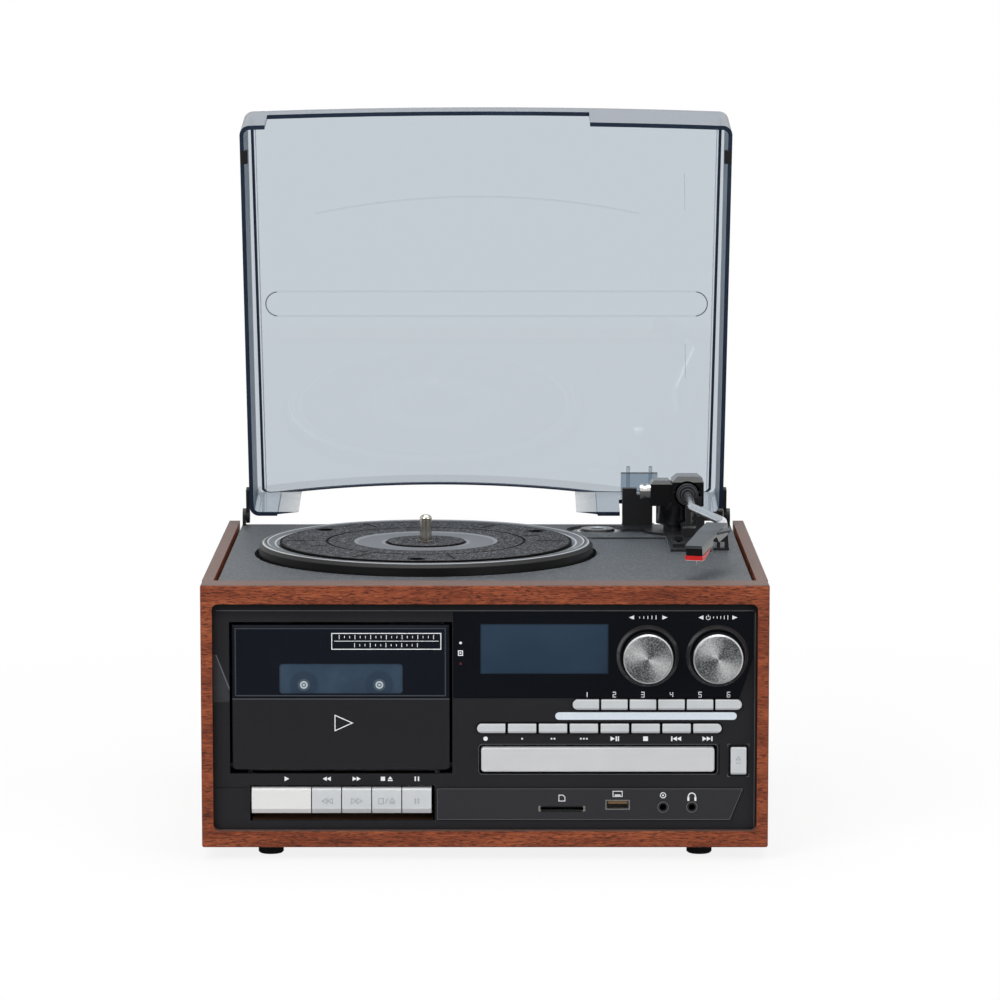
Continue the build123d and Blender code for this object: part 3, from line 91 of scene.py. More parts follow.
# the mat's cut lines, as the reach they run from and to and their angle, and its finger holes
CUT_LINES = ((66, 82, 0), (66, 82, 60), (66, 88, 117), (66, 82, 180), (66, 82, 240), (60, 79, -77),
             (62, 72, 20), (62, 72, 200))
HOLE_ANGLES, HOLE_REACH, HOLE_RADIUS = (33, 142, 267), 78.0, 5.4

TUBE_FROM_BEARING = 22.4  # middle of the arm tube's root beyond the bearing's end
TUBE_ROOT_DEPTH = 219.0
LINE_OUT_X, LINE_OUT_Z = (60.0, 76.0), 40.0


def at(x, depth, z):
    """Point from its x, its depth behind the front face and its height above the cabinet's bottom."""
    return Vector((x * MM, CORNER.y + depth * MM, CORNER.z + z * MM))


def middle(node):
    """The middle of a node, as at() takes it."""
    low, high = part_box(node)
    point = (low + high) / 2 - CORNER
    return (low.x + high.x) / 2 / MM, point.y / MM, point.z / MM


def front_of(node):
    """How far the node's foremost point lies behind the cabinet's front face."""
    return (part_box(node)[0].y - CORNER.y) / MM


def reach_z(node):
    """A node's lowest and highest point above the cabinet's bottom."""
    low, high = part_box(node)
    return (low.z - CORNER.z) / MM, (high.z - CORNER.z) / MM


PLATTER_X, PLATTER_Y, _ = middle("platter")
HINGE = next(j for j in frame["joints"] if j["name"] == "lid_hinge")
LID_ANGLE = math.radians(HINGE["range_deg"][1])
HINGE_Y = (HINGE["pos_m"][1] - CORNER.y) / MM
HINGE_Z = (HINGE["pos_m"][2] - CORNER.z) / MM

# the shut cover: heights above the deck, and the arched inner edge of its panel
LID_TOP = 50.5
NOTCH_UP = LID_TOP - 17.0
PANEL_INSIDE = LID_TOP - 2.5
PANEL_UP = 46.0
FRONT_DEPTH = 24.0
TABS_DEPTH = 267.0
ARCH_X, ARCH_HALF, ARCH_DEPTH, ARCH_RISE = PLATTER_X + 5.2, 99.3, 264.2, 6.0


def on_lid(x, depth, up):
    """Point of the open lid from its place on the shut one."""
    dy, dz = depth - HINGE_Y, DECK_Z + up - HINGE_Z
    c, s = math.cos(LID_ANGLE), math.sin(LID_ANGLE)
    return at(x, HINGE_Y + dy * c + dz * s, HINGE_Z - dy * s + dz * c)


def rgb(r, g, b):
    """Colour as it shows, 0 to 255, as the shader's linear one."""
    def linear(v):
        v /= 255
        return v / 12.92 if v <= 0.04045 else ((v + 0.055) / 1.055) ** 2.4
    return linear(r), linear(g), linear(b), 1.0


def shade(colour, share):
    """The colour made darker or paler."""
    return tuple(min(1.0, c * share) for c in colour[:3]) + (1.0,)


# -------------------- shader maths
class Value:
    """A shader value. Python's operators on it add the Math nodes."""

    def __init__(self, nodes_of, socket):
        self.nodes_of, self.socket = nodes_of, socket

    def maths(self, operation, *values):
        return self.nodes_of.node("Math", {"operation": operation}, dict(enumerate(values)))

    def __add__(self, other):
        return self.maths("ADD", self, other)

    def __sub__(self, other):
        return self.maths("SUBTRACT", self, other)

    def __rsub__(self, other):
        return self.maths("SUBTRACT", other, self)

    def __mul__(self, other):
        return self.maths("MULTIPLY", self, other)

    def __truediv__(self, other):
        return self.maths("DIVIDE", self, other)

    def __rtruediv__(self, other):
        return self.maths("DIVIDE", other, self)

    def __pow__(self, other):
        return self.maths("POWER", self, other)

    def __abs__(self):
        return self.maths("ABSOLUTE", self)

    def __or__(self, other):
        return self.maths("MAXIMUM", self, other)

    __radd__ = __add__
    __rmul__ = __mul__

    def above(self, edge, soft):
        """1 above the edge and 0 below it, over a soft step."""
        step = {"interpolation_type": "SMOOTHSTEP"}
        return self.nodes_of.node("MapRange", step, {0: self, 1: edge - soft / 2, 2: edge + soft / 2})

    def below(self, edge, soft):
        return 1 - self.above(edge, soft)

    def between(self, low, high, soft=0.3):
        return self.above(low, soft) * self.below(high, soft)

    def in_any(self, *bands):
        """1 in any of the bands, each given as between() takes it."""
        inside = self.between(*bands[0])
        for band in bands[1:]:
            inside = inside | self.between(*band)
        return inside


def distance(across, up):
    """How far a point lies from where both are 0."""
    return (across * across + up * up) ** 0.5


def patch(x, z, x0, x1, z0, z1, soft=0.3):
    """1 inside a rectangle of the front."""
    return x.between(x0, x1, soft) * z.between(z0, z1, soft)


GENERATED, NORMAL, OBJECT = 0, 1, 3  # outputs of the TexCoord node


class Nodes:
    """A node tree and the one way that nodes are added to it."""

    def __init__(self, tree):
        self.tree = tree

    def node(self, kind, settings, sockets, output=0):
        made = self.tree.nodes.new("ShaderNode" + kind)
        for name, value in settings.items():
            if name == "stops":
                self.set_stops(made.color_ramp, value)
            else:
                setattr(made, name, value)
        for name, value in sockets.items():
            self.feed(made.inputs[name], value)
        return Value(self, made.outputs[output])

    def feed(self, socket, value):
        if isinstance(value, Value):
            self.tree.links.new(value.socket, socket)
        else:
            socket.default_value = value

    def set_stops(self, ramp, stops):
        while len(ramp.elements) < len(stops):
            ramp.elements.new(0.5)
        for element, (place, colour) in zip(ramp.elements, stops):
            element.position, element.color = place, colour

    def mix(self, factor, a, b):
        return self.node("Mix", {"data_type": "RGBA"}, {0: factor, 6: a, 7: b}, output=2)


class Finish(Nodes):
    """One material: its constants are set on the shader, and what varies is fed to it."""

    def __init__(self, name, **constants):
        self.material = bpy.data.materials.new(name)
        self.material.use_nodes = True
        super().__init__(self.material.node_tree)
        self.shader = self.tree.nodes["Principled BSDF"]
        self.set(**constants)

    def set(self, **values):
        for name, value in values.items():
            self.feed(self.shader.inputs[name.replace("_", " ")], value)
        return self

    def place(self, x=1.0, y=1.0, z=1.0):
        """The piece's own coordinates in metres, stretched."""
        point = self.node("TexCoord", {}, {}, output=OBJECT)
        return self.node("VectorMath", {"operation": "MULTIPLY"}, {0: point, 1: (x, y, z)})

    def side(self):
        """The surface's own direction, one Value for each axis."""
        normal = self.node("TexCoord", {}, {}, output=NORMAL)
        return [self.node("SeparateXYZ", {}, {0: normal}, output=i) for i in range(3)]

    def millimetres(self):
        """x, depth and height above the cabinet's bottom, as at() takes them."""
        point = self.place()
        x, y, z = (self.node("SeparateXYZ", {}, {0: point}, output=i) for i in range(3))
        return x / MM, (y - CORNER.y) / MM, (z - CORNER.z) / MM

    def shut_cover(self):
        """A cover point's depth, height above the deck and share that faces back, as when it is shut."""
        _, y, z = self.millimetres()
        _, ny, nz = self.side()
        dy, dz = y - HINGE_Y, z - HINGE_Z
        c, s = math.cos(LID_ANGLE), math.sin(LID_ANGLE)
        return dy * c - dz * s + HINGE_Y, dy * s + dz * c + (HINGE_Z - DECK_Z), ny * c - nz * s

    def noise(self, size, detail, rough, stretch=(1.0, 1.0, 1.0), lean=0.0):
        """Noise from 0 to 1 with lumps of about that size in millimetres."""
        point = self.place(*stretch)
        if lean:
            point = self.node("Mapping", {}, {"Vector": point, "Rotation": (0.0, lean, 0.0)})
        return self.node("TexNoise", {}, {"Vector": point, "Scale": 1 / (size * MM), "Detail": detail,
                                          "Roughness": rough})

    def bump(self, height, depth):
        """Raises the surface by height times depth in millimetres."""
        normal = self.node("Bump", {}, {"Height": height, "Distance": depth * MM, "Strength": 1.0})
        return self.set(Normal=normal)


# -------------------- finishes
def wood(name, along):
    """Reddish wood veneer: streaks and short dark pores along one axis, taupe on faces that point up."""
    look = Finish(name, Specular_IOR_Level=0.2)

    def grain(size, long, detail, rough, lean=0.0):
        stretch = [1.0, 1.0, 1.0]
        stretch[along] = 1 / long
        return look.noise(size, detail, rough, stretch, lean)

    broad = grain(9.0, 7, 4, 0.6)
    streak = grain(0.95, 11, 5, 0.7, 0.010)
    fine = grain(0.38, 9, 2, 0.7)
    pore = grain(0.46, 8, 1, 0.4, 0.014) * 0.55 + grain(0.7, 7, 2, 0.6, -0.008) * 0.45
    tone = broad * 0.34 + streak * 0.36 + fine * 0.30
    colour = look.node("ValToRGB", {"stops": [(0.34, rgb(78, 35, 22)), (0.45, rgb(118, 56, 34)),
                                              (0.53, rgb(142, 72, 44)), (0.65, rgb(174, 98, 62))]}, {0: tone})
    pores = pore.above(0.555, 0.10)
    colour = look.mix(pores * 0.74, colour, rgb(50, 24, 16))
    up = look.side()[2].above(0.6, 0.4)
    taupe = look.mix(streak * 0.6 + fine * 0.4, rgb(64, 52, 48), rgb(126, 108, 102))
    look.set(Base_Color=look.mix(up * 0.9, colour, taupe), Roughness=0.46 + streak * 0.16)
    return look.bump(streak * 0.3 + fine * 0.5 - pores, 0.07).material


def moulded(name, colour, roughness, grain=0.9, depth=0.012, specular=0.35):
    """Moulded plastic with a fine spark-eroded grain and slight unevenness."""
    look = Finish(name, Specular_IOR_Level=specular)
    fine = look.noise(grain, 2, 0.6)
    broad = look.noise(38.0, 2, 0.5)
    look.set(Base_Color=look.mix(broad * 0.6 + fine * 0.4, shade(colour, 0.86), shade(colour, 1.14)),
             Roughness=roughness + (broad - 0.5) * 0.10)
    return look.bump(fine, depth).material


def plated(name, colour, roughness, lines=None):
    """Bright metal with faint smears, and turned lines across the axis that lines names."""
    look = Finish(name, Metallic=1.0)
    smear = look.noise(7.0, 3, 0.6)
    if lines is None:
        height = look.noise(0.5, 1, 0.5)
    else:
        stretch = [0.02, 0.02, 0.02]
        stretch[lines] = 1.0
        height = look.noise(0.35, 2, 0.6, stretch)
    look.set(Base_Color=look.mix(smear, shade(colour, 0.86), colour), Roughness=roughness + smear * 0.08)
    return look.bump(height, 0.006).material


def deck_finish():
    """Fine grained deck with two thin joint lines right of the platter."""
    look = Finish("deck grain", Specular_IOR_Level=0.5)
    x, y, _ = look.millimetres()
    fine = look.noise(0.85, 2, 0.7)
    speck = look.noise(1.25, 3, 0.85, (1.0, 0.45, 1.0))
    pale, dark = speck.above(0.56, 0.12), speck.below(0.44, 0.12)
    broad = look.noise(60.0, 2, 0.5)
    joint = y.in_any(*JOINTS) * x.between(*JOINTS_X, 0.6)
    colour = look.mix(broad, rgb(44, 49, 53), rgb(60, 65, 70))
    colour = look.mix(pale * 0.42, colour, rgb(126, 132, 138))
    colour = look.mix(dark * 0.42 | joint, colour, rgb(14, 15, 17))
    look.set(Base_Color=colour, Roughness=0.50 + broad * 0.08 + pale * 0.1)
    return look.bump(fine - joint * 4, 0.05).material


def platter_finish():
    """Gloss black casting: the top of its bevel is painted grey as its reflection, with painted highlight
    lines at the bevel's edges.
    """
    look = Finish("platter black", Specular_IOR_Level=0.32, Coat_Roughness=0.06)
    x, y, z = look.millimetres()
    reach = distance(x - PLATTER_X, y - PLATTER_Y)
    top = z.above(DECK_Z + BEVEL_UP, 0.6)
    lines = reach.in_any(*BEVEL_HIGHLIGHTS) * top
    seam = (reach.above(97.0, 0.3) | reach.between(*BEVEL_SEAM)) * top
    broad = look.noise(20.0, 2, 0.5)
    base = look.mix(broad, rgb(7, 7, 8), rgb(12, 12, 13))
    # painted reflection: the bevel's top painted grey
    base = look.mix(top * 0.6, base, rgb(70, 73, 77))
    # painted highlight lines at the bevel's edges, then its dark seam
    colour = look.mix(seam, look.mix(lines, base, rgb(176, 180, 184)), rgb(9, 9, 10))
    look.set(Base_Color=colour, Roughness=0.30 + seam * 0.2 + broad * 0.06,
             Coat_Weight=top * (1 - seam) * 0.2)
    return look.bump(look.noise(3.0, 1, 0.5), 0.004).material


def mat_finish():
    """Speckled mat with cut lines, a smooth label ring and a speckled middle."""
    look = Finish("speckled mat", Specular_IOR_Level=0.12)
    x, y, _ = look.millimetres()
    dx, dy = x - PLATTER_X, y - PLATTER_Y
    reach = distance(dx, dy)
    smooth = reach.between(*LABEL_RING, 0.8)
    fine = look.noise(1.5, 3, 0.85)
    pale = fine.above(0.55, 0.06) * (1 - smooth)
    dark = look.noise(1.9, 3, 0.85).above(0.53, 0.08) * (1 - smooth)
    base = look.mix(smooth, rgb(52, 53, 56), rgb(104, 107, 112))
    colour = look.mix(pale * 0.9, base, rgb(128, 130, 134))
    colour = look.mix(dark * 0.85, colour, rgb(22, 22, 24))
    colour = look.mix(reach.in_any(*LABEL_RIMS) * 0.5, colour, rgb(150, 153, 158))
    cut = reach.in_any(*MAT_GROOVES) | reach.between(22.6, 24.2, 0.4) * 0.8
    for radius0, radius1, angle in CUT_LINES:
        c, s = math.cos(math.radians(angle)), math.sin(math.radians(angle))
        along, across = dx * c + dy * s, abs(dy * c - dx * s)
        cut = cut | along.between(radius0, radius1, 0.6) * across.below(0.7 + 1.1 * abs(c), 0.4)
    for angle in HOLE_ANGLES:
        c, s = math.cos(math.radians(angle)), math.sin(math.radians(angle))
        cut = cut | distance(dx - HOLE_REACH * c, dy - HOLE_REACH * s).below(HOLE_RADIUS, 0.3)
    look.set(Base_Color=look.mix(cut, colour, rgb(7, 7, 8)), Roughness=0.82 - smooth * 0.36)
    return look.bump(fine * (1 - smooth) - cut * 3, 0.09).material


def row_shade(x, z, first, last, shaded_gap=0.8):
    """1 on a round-ended row of buttons and the band round it that is painted as shade."""
    low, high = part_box(first)[0].x / MM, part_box(last)[1].x / MM
    bottom, top = reach_z(first)
    radius = (top - bottom) / 2
    along = (abs(x - (low + high) / 2) - ((high - low) / 2 - radius)) | 0
    return distance(along, z - (bottom + top) / 2).below(radius + shaded_gap, 0.3)


def fascia_finish():
    """Satin black front: painted shade on top, a left flank whose slanted facet is painted paler with a
    painted highlight at its edge, a lower strip, and painted shade round the tray and buttons.
    """
    look = Finish("fascia black", Specular_IOR_Level=0.22)
    x, _, z = look.millimetres()
    fine = look.noise(0.7, 2, 0.6)
    broad = look.noise(50.0, 2, 0.5)
    base = look.mix(broad * 0.5 + fine * 0.5, rgb(26, 26, 29), rgb(37, 37, 41))
    slant = (x + 151.6) - (FLANK_Z1 - z) * 0.385
    flank = z.between(FLANK_Z0, FLANK_Z1, 0.4) * x.below(-143.0, 0.6)
    facet = slant.below(0.0, 0.4) * flank
    glint = slant.between(-0.35, 0.35) * flank
    lower = z.between(STRIP_Z1 - 0.4, FLANK_Z0, 0.4) * x.below(-144.2, 0.6)
    strip_end = x - STRIP_X1 - (z - STRIP_Z0) * 0.41
    strip = z.between(STRIP_Z0, STRIP_Z1) * strip_end.below(0.0, 0.3) * x.above(STRIP_X0, 0.4)
    base = look.mix(strip * 0.6, base, rgb(52, 52, 56))
    # painted highlight: the slanted facet painted paler
    colour = look.mix(facet, base, rgb(52, 53, 57))
    colour = look.mix(lower * 0.6, colour, rgb(29, 29, 32))
    # painted shade on the top of the front
    colour = look.mix(z.above(131.0, 5.0) * 0.5, colour, rgb(18, 18, 20))
    # painted highlight along the facet's edge
    colour = look.mix(glint, colour, rgb(96, 98, 104))
    # painted shade in the recesses round the tray, the open button and the rows of buttons
    shaded_gaps = patch(x, z, *TRAY_SHADE, 0.4) | patch(x, z, *OPEN_BUTTON_SHADE, 0.4)
    shaded_gaps = shaded_gaps | row_shade(x, z, "function_button_1", "function_button_6")
    shaded_gaps = shaded_gaps | row_shade(x, z, "transport_button_1", "transport_button_8")
    colour = look.mix(shaded_gaps, colour, rgb(8, 8, 9))
    look.set(Base_Color=colour, Roughness=0.42 + broad * 0.1)
    return look.bump(fine, 0.012).material


def lens_finish():
    """Deep blue-black gloss lens, with the unlit display in its window and a painted highlight ring round
    each knob.
    """
    look = Finish("display lens", Specular_IOR_Level=0.25, Coat_Roughness=0.12)
    x, _, z = look.millimetres()
    # painted highlight: a grey ring round each knob
    left, right = (distance(x - middle(knob)[0], z - KNOB_Z).between(15.6, 17.6) for knob in KNOBS)
    rings = left | right
    window = patch(x, z, *DISPLAY_WINDOW, 0.5)
    cloud = look.noise(22.0, 3, 0.55)
    lit = look.mix(cloud * 0.5 + (z - DISPLAY_WINDOW[2]) * 0.01, rgb(31, 46, 62), rgb(50, 68, 86))
    rim = window * (1 - patch(x, z, *DISPLAY_INNER))
    base = look.mix(look.noise(45.0, 2, 0.5), rgb(6, 9, 14), rgb(10, 14, 21))
    colour = look.mix(window, base, lit)
    colour = look.mix(rim * 0.5, colour, rgb(18, 26, 36))
    look.set(Base_Color=look.mix(rings * 0.55, colour, rgb(60, 60, 61)), Roughness=0.10 + cloud * 0.05,
             Coat_Weight=rings)
    return look.bump(look.noise(9.0, 1, 0.5), 0.004).material


def door_finish():
    """Cassette door: gloss blue-black above its split line, satin black below, with painted highlight lines
    round its upper part and just under the split.
    """
    look = Finish("cassette door", Specular_IOR_Level=0.3)
    x, _, z = look.millimetres()
    upper = z.above(DOOR_SPLIT_Z, 0.3)
    fine = look.noise(0.7, 2, 0.6)
    satin = look.mix(fine, rgb(24, 24, 27), rgb(32, 32, 36))
    gloss = look.mix(look.noise(40.0, 2, 0.5), rgb(10, 14, 21), rgb(16, 21, 30))
    split = z.between(DOOR_SPLIT_Z - 0.5, DOOR_SPLIT_Z + 0.4)
    highlight_border = patch(x, z, *DOOR_HIGHLIGHT) - patch(x, z, *DOOR_HIGHLIGHT_INNER)
    # painted highlight lines round the upper part and just under the split
    line = highlight_border * upper | z.between(84.1, 84.8)
    colour = look.mix(upper, satin, gloss)
    colour = look.mix(line * 0.85, colour, rgb(66, 72, 80))
    colour = look.mix(split, colour, rgb(5, 5, 6))
    look.set(Base_Color=colour, Roughness=0.44 - upper * 0.33)
    return look.bump(fine * (1 - upper) - split * 6, 0.014).material


def window_finish():
    """Cassette window: cloudy blue, with the two hubs showing through it."""
    look = Finish("cassette window", Specular_IOR_Level=0.3)
    x, _, z = look.millimetres()
    cloud = look.noise(16.0, 3, 0.6)
    seen = []
    for hub_x in HUBS_X:
        reach = distance(x - hub_x, z - HUBS_Z)
        seen.append([reach.below(8.0, 2.0) | reach.between(4.4, 5.2), reach.below(2.2, 0.5),
                     reach.in_any((0.7, 1.3), (2.6, 3.4))])
    hubs, tips, cores = (left | right for left, right in zip(*seen))
    colour = look.mix(cloud, rgb(36, 50, 65), rgb(60, 78, 96))
    colour = look.mix(hubs * 0.5, colour, rgb(34, 47, 62))
    colour = look.mix(tips, colour, rgb(176, 186, 192))
    look.set(Base_Color=look.mix(cores, colour, rgb(70, 82, 92)), Roughness=0.14 + cloud * 0.08)
    return look.bump(cloud, 0.01).material


def silver(name, colour, roughness=0.33):
    """Pale silver painted plastic with fine metallic flakes."""
    look = Finish(name, Specular_IOR_Level=0.5, Metallic=0.15)
    flake = look.noise(0.35, 1, 0.5)
    broad = look.noise(18.0, 2, 0.5)
    look.set(Base_Color=look.mix(broad * 0.7 + flake * 0.3, shade(colour, 0.93), shade(colour, 1.05)),
             Roughness=roughness + flake * 0.06)
    return look.bump(flake, 0.004).material


def knob_finish(node, turned):
    """Knob: a spun, gritty face with two painted highlight sectors turned by an angle, a bright rim and a
    dark flank.
    """
    look = Finish(node.replace("_", " "))
    x, _, z = look.millimetres()
    dx, dz = x - middle(node)[0], z - KNOB_Z
    reach = distance(dx, dz)
    # painted highlight: two bright sectors across the spun face, turned by an angle
    turn = look.node("Math", {"operation": "ARCTAN2"}, {0: dz, 1: dx})
    highlight_fan = look.node("Math", {"operation": "COSINE"}, {0: turn * 2 - 2 * math.radians(turned)})
    highlight_fan = (highlight_fan * 0.5 + 0.5) ** 1.6
    grit = look.noise(0.95, 3, 0.9)
    ring = look.noise(0.5, 1, 0.5, (1.0, 0.02, 1.0))
    rim = reach.above(13.25, 0.25)
    flank = abs(look.side()[1]).below(0.45, 0.3)
    tone = highlight_fan * (1.1 - reach * 0.03) * 0.72 + (grit - 0.5) * 1.8 + ring * 0.10 + 0.06
    spun = look.mix(tone, rgb(44, 48, 49), rgb(204, 206, 206))
    colour = look.mix(flank, look.mix(rim, spun, rgb(206, 207, 209)), rgb(66, 68, 70))
    look.set(Base_Color=colour, Roughness=0.48 - rim * 0.2, Metallic=0.3 + rim * 0.4)
    return look.bump(grit * (1 - rim), 0.04).material


def smoked_acrylic():
    """Clear smoked acrylic, tinted through its thickness, navy at its cut edges and at a grazing view, and
    painted navy on its side walls as their dark reflection.
    """
    look = Finish("smoked acrylic", Base_Color=(1, 1, 1, 1), Roughness=0.0, IOR=1.49, Transmission_Weight=1.0)
    x, _, _ = look.millimetres()
    depth, up, across = look.shut_cover()
    haze = look.noise(26.0, 2, 0.5)
    look.bump(haze, 0.008)
    front, tabs = depth.below(FRONT_DEPTH, 1.0), depth.above(TABS_DEPTH, 1.5)
    panel = up.above(PANEL_UP, 1.0)
    rim = up.below(0.9, 0.3)
    notch = up.between(NOTCH_UP - 0.5, NOTCH_UP + 0.4, 0.2) * front
    notch = notch * abs(x - PLATTER_X).between(-1.0, 98.6, 0.2)
    back = across.above(0.75, 0.2) * panel
    slant = look.node("LayerWeight", {}, {"Blend": 0.5}, output=1)
    grazing = slant.above(0.80, 0.30) * 0.80
    # painted reflection: the side walls tinted navy for the dark reflection there
    painted_wall_reflection = abs(look.side()[0]).above(0.8, 0.2) * (1 - rim)
    front_wall = abs(across).above(0.8, 0.2) * front * (1 - rim)
    sag = ((x - ARCH_X) / ARCH_HALF) ** 2 * ARCH_RISE - ARCH_RISE
    ledge = (depth - sag).between(ARCH_DEPTH - 5.4, ARCH_DEPTH + 3.0, 0.4) * panel
    navy = look.node("BsdfPrincipled", {"distribution": "GGX"},
                     {"Roughness": 0.3, "Specular IOR Level": 0.22})
    tone = look.mix(haze, rgb(24, 34, 50), rgb(38, 52, 72))
    tone = look.mix(painted_wall_reflection * 0.8 | tabs * 0.8, tone, rgb(70, 93, 116))
    tone = look.mix(front_wall, tone, rgb(108, 116, 128))
    look.feed(navy.socket.node.inputs["Base Color"], tone)
    share = (rim | notch | back) * 0.9 | grazing | painted_wall_reflection * 0.42 | ledge * 0.08 | tabs * 0.3
    share = share | slant.above(0.72, 0.2) * (painted_wall_reflection * 0.93 | front_wall * 0.7)
    edged = look.node("MixShader", {}, {0: share, 1: Value(look, look.shader.outputs[0]), 2: navy})
    shadow_ray = look.node("LightPath", {}, {}, output=1)
    clear = look.node("BsdfTransparent", {}, {0: rgb(196, 203, 211)})
    mixed = look.node("MixShader", {}, {0: shadow_ray, 1: edged, 2: clear})
    out = look.tree.nodes["Material Output"]
    look.tree.links.new(mixed.socket, out.inputs["Surface"])
    body = look.node("VolumeAbsorption", {}, {"Color": (0.22, 0.345, 0.455, 1.0), "Density": 275.0})
    look.tree.links.new(body.socket, out.inputs["Volume"])
    return look.material


def printed(name, colour, roughness=0.5):
    """Screen-printed ink with a slightly uneven edge tone."""
    look = Finish(name)
    tone = look.noise(1.2, 2, 0.6)
    return look.set(Base_Color=look.mix(tone, shade(colour, 0.85), colour),
                    Roughness=roughness + tone * 0.1).material


def adaptor_finish():
    """Dark adaptor with bright turned rings."""
    look = Finish("adaptor metal")
    x, y, _ = look.millimetres()
    ax, ay, _ = middle("adaptor_45")
    rings = distance(x - ax, y - ay).in_any((18.0, 19.2), (11.0, 12.2), (4.4, 5.6))
    lines = look.noise(0.4, 2, 0.6)
    look.set(Base_Color=look.mix(rings, rgb(34, 35, 37), rgb(196, 198, 200)), Metallic=0.3 + rings * 0.6,
             Roughness=0.24 + lines * 0.1)
    return look.bump(lines, 0.008).material


def tube_finish():
    """Bright arm tube; the ball and flange at its root are black with turned rings."""
    look = Finish("arm tube")
    x, y, z = look.millimetres()
    root_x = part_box("arm_bearing")[1].x / MM + TUBE_FROM_BEARING
    root = y.above(TUBE_ROOT_DEPTH, 0.3)
    reach = distance(x - root_x, z - middle("arm_bearing")[2])
    rings = reach.in_any((5.0, 5.7), (3.5, 4.0)) | reach.above(6.3, 0.2)
    smear = look.noise(7.0, 3, 0.6)
    bright = look.mix(smear, rgb(198, 200, 203), rgb(232, 233, 235))
    dark = look.mix(rings * 0.8, rgb(16, 16, 18), rgb(92, 95, 99))
    look.set(Base_Color=look.mix(root, bright, dark), Metallic=1 - root * 0.8,
             Roughness=0.16 + smear * 0.08 + root * 0.2)
    return look.bump(smear, 0.004).material


def stylus_finish():
    """Red moulded stylus holder with a bright needle under it."""
    look = Finish("red stylus", Specular_IOR_Level=0.4)
    _, _, z = look.millimetres()
    needle = z.below(reach_z("stylus")[0] + 3.6, 0.2)
    fine = look.noise(0.7, 2, 0.6)
    red = look.mix(fine, rgb(196, 26, 28), rgb(232, 36, 36))
    look.set(Base_Color=look.mix(needle, red, rgb(232, 234, 236)), Metallic=needle * 0.4,
             Roughness=0.3 + fine * 0.08)
    return look.bump(fine, 0.006).material


def socket_finish():
    """Plated port with a brown tongue, dark card slot with plated ends, jacks with a painted highlight ring.
    """
    look = Finish("socket shells", Specular_IOR_Level=0.5)
    x, y, z = look.millimetres()
    front = y.below(60.0, 5.0)
    port = x.between(66.0, 84.0, 0.5) * front
    tongue = port * x.between(69.6, 80.5) * z.between(23.9, 26.2) * y.above(4.9, 0.4)
    card = x.between(28.0, 60.0, 0.5) * front
    ends = card * (1 - x.between(31.6, 55.4, 0.4))
    green = card * z.between(20.4, 21.6, 0.2) * y.above(4.9, 0.3)
    pads = green * look.noise(1.6, 0, 0.5).above(0.5, 0.05)
    dust = look.noise(2.2, 3, 0.6)
    colour = look.mix(dust, rgb(15, 15, 16), rgb(26, 26, 28))
    colour = look.mix(port, colour, look.mix(dust, rgb(120, 121, 118), rgb(196, 196, 192)))
    colour = look.mix(tongue, colour, look.mix(dust, rgb(92, 66, 40), rgb(150, 116, 74)))
    colour = look.mix(green, colour, rgb(56, 74, 60))
    colour = look.mix(ends | pads, colour, rgb(172, 172, 166))
    for jack_x in (LINE_IN_X, PHONES_X):
        # painted highlight: a pale ring round each jack
        ring = distance(x - jack_x, z - JACKS_Z).between(2.75, 3.3, 0.2)
        colour = look.mix(ring * front, colour, rgb(92, 92, 94))
    plate = (port - tongue) | ends | pads
    look.set(Base_Color=colour, Metallic=plate * 0.85, Roughness=0.34 - plate * 0.12 + dust * 0.06)
    return look.bump(dust, 0.01).material


def button_finish(name, node):
    """Silver button: a painted highlight on its upper edge, painted shade on its bevel and at its bottom, and
    painted shade on its sides.
    """
    low, high = reach_z(node)
    look = Finish(name, Specular_IOR_Level=0.5, Metallic=0.1)
    _, y, z = look.millimetres()
    flake = look.noise(0.35, 1, 0.5)
    broad = look.noise(16.0, 2, 0.5)
    bevel = y.above(front_of(node) + 0.15, 0.2)
    shaded_gap = y.above(front_of(node) + 1.2, 0.5)
    foot = z.below(low + 0.9, 0.5)
    highlight_brow = z.above(high - 0.7, 0.3)
    colour = look.mix(broad * 0.7 + flake * 0.3, rgb(186, 190, 193), rgb(208, 211, 213))
    # painted shade at the bottom, painted highlight at the top, painted shade on the bevel and the sides
    colour = look.mix(foot * 0.7, colour, rgb(140, 144, 148))
    colour = look.mix(highlight_brow * 0.6, colour, rgb(226, 228, 230))
    colour = look.mix(bevel * (1 - highlight_brow) * 0.5, colour, rgb(120, 123, 127))
    colour = look.mix(shaded_gap * 0.95, colour, rgb(24, 24, 26))
    look.set(Base_Color=colour, Roughness=0.34 + flake * 0.06)
    return look.bump(flake, 0.004).material


def fibreboard():
    """Brown pressed board."""
    look = Finish("fibreboard", Specular_IOR_Level=0.25)
    fibre = look.noise(1.2, 4, 0.7)
    broad = look.noise(30.0, 3, 0.5)
    colour = look.mix(broad * 0.5 + fibre * 0.5, rgb(104, 74, 48), rgb(150, 112, 78))
    return look.set(Base_Color=colour, Roughness=0.8 + fibre * 0.1).bump(fibre, 0.08).material


def circuit_finish():
    """Green board lacquer with paler tracks."""
    look = Finish("circuit boards", Specular_IOR_Level=0.5)
    tracks = look.noise(2.6, 1, 0.3, (1.0, 0.4, 1.0)).between(0.47, 0.53, 0.02)
    colour = look.mix(tracks, rgb(18, 70, 44), rgb(48, 112, 70))
    return look.set(Base_Color=colour, Roughness=0.35 + tracks * 0.1).bump(tracks, 0.03).material


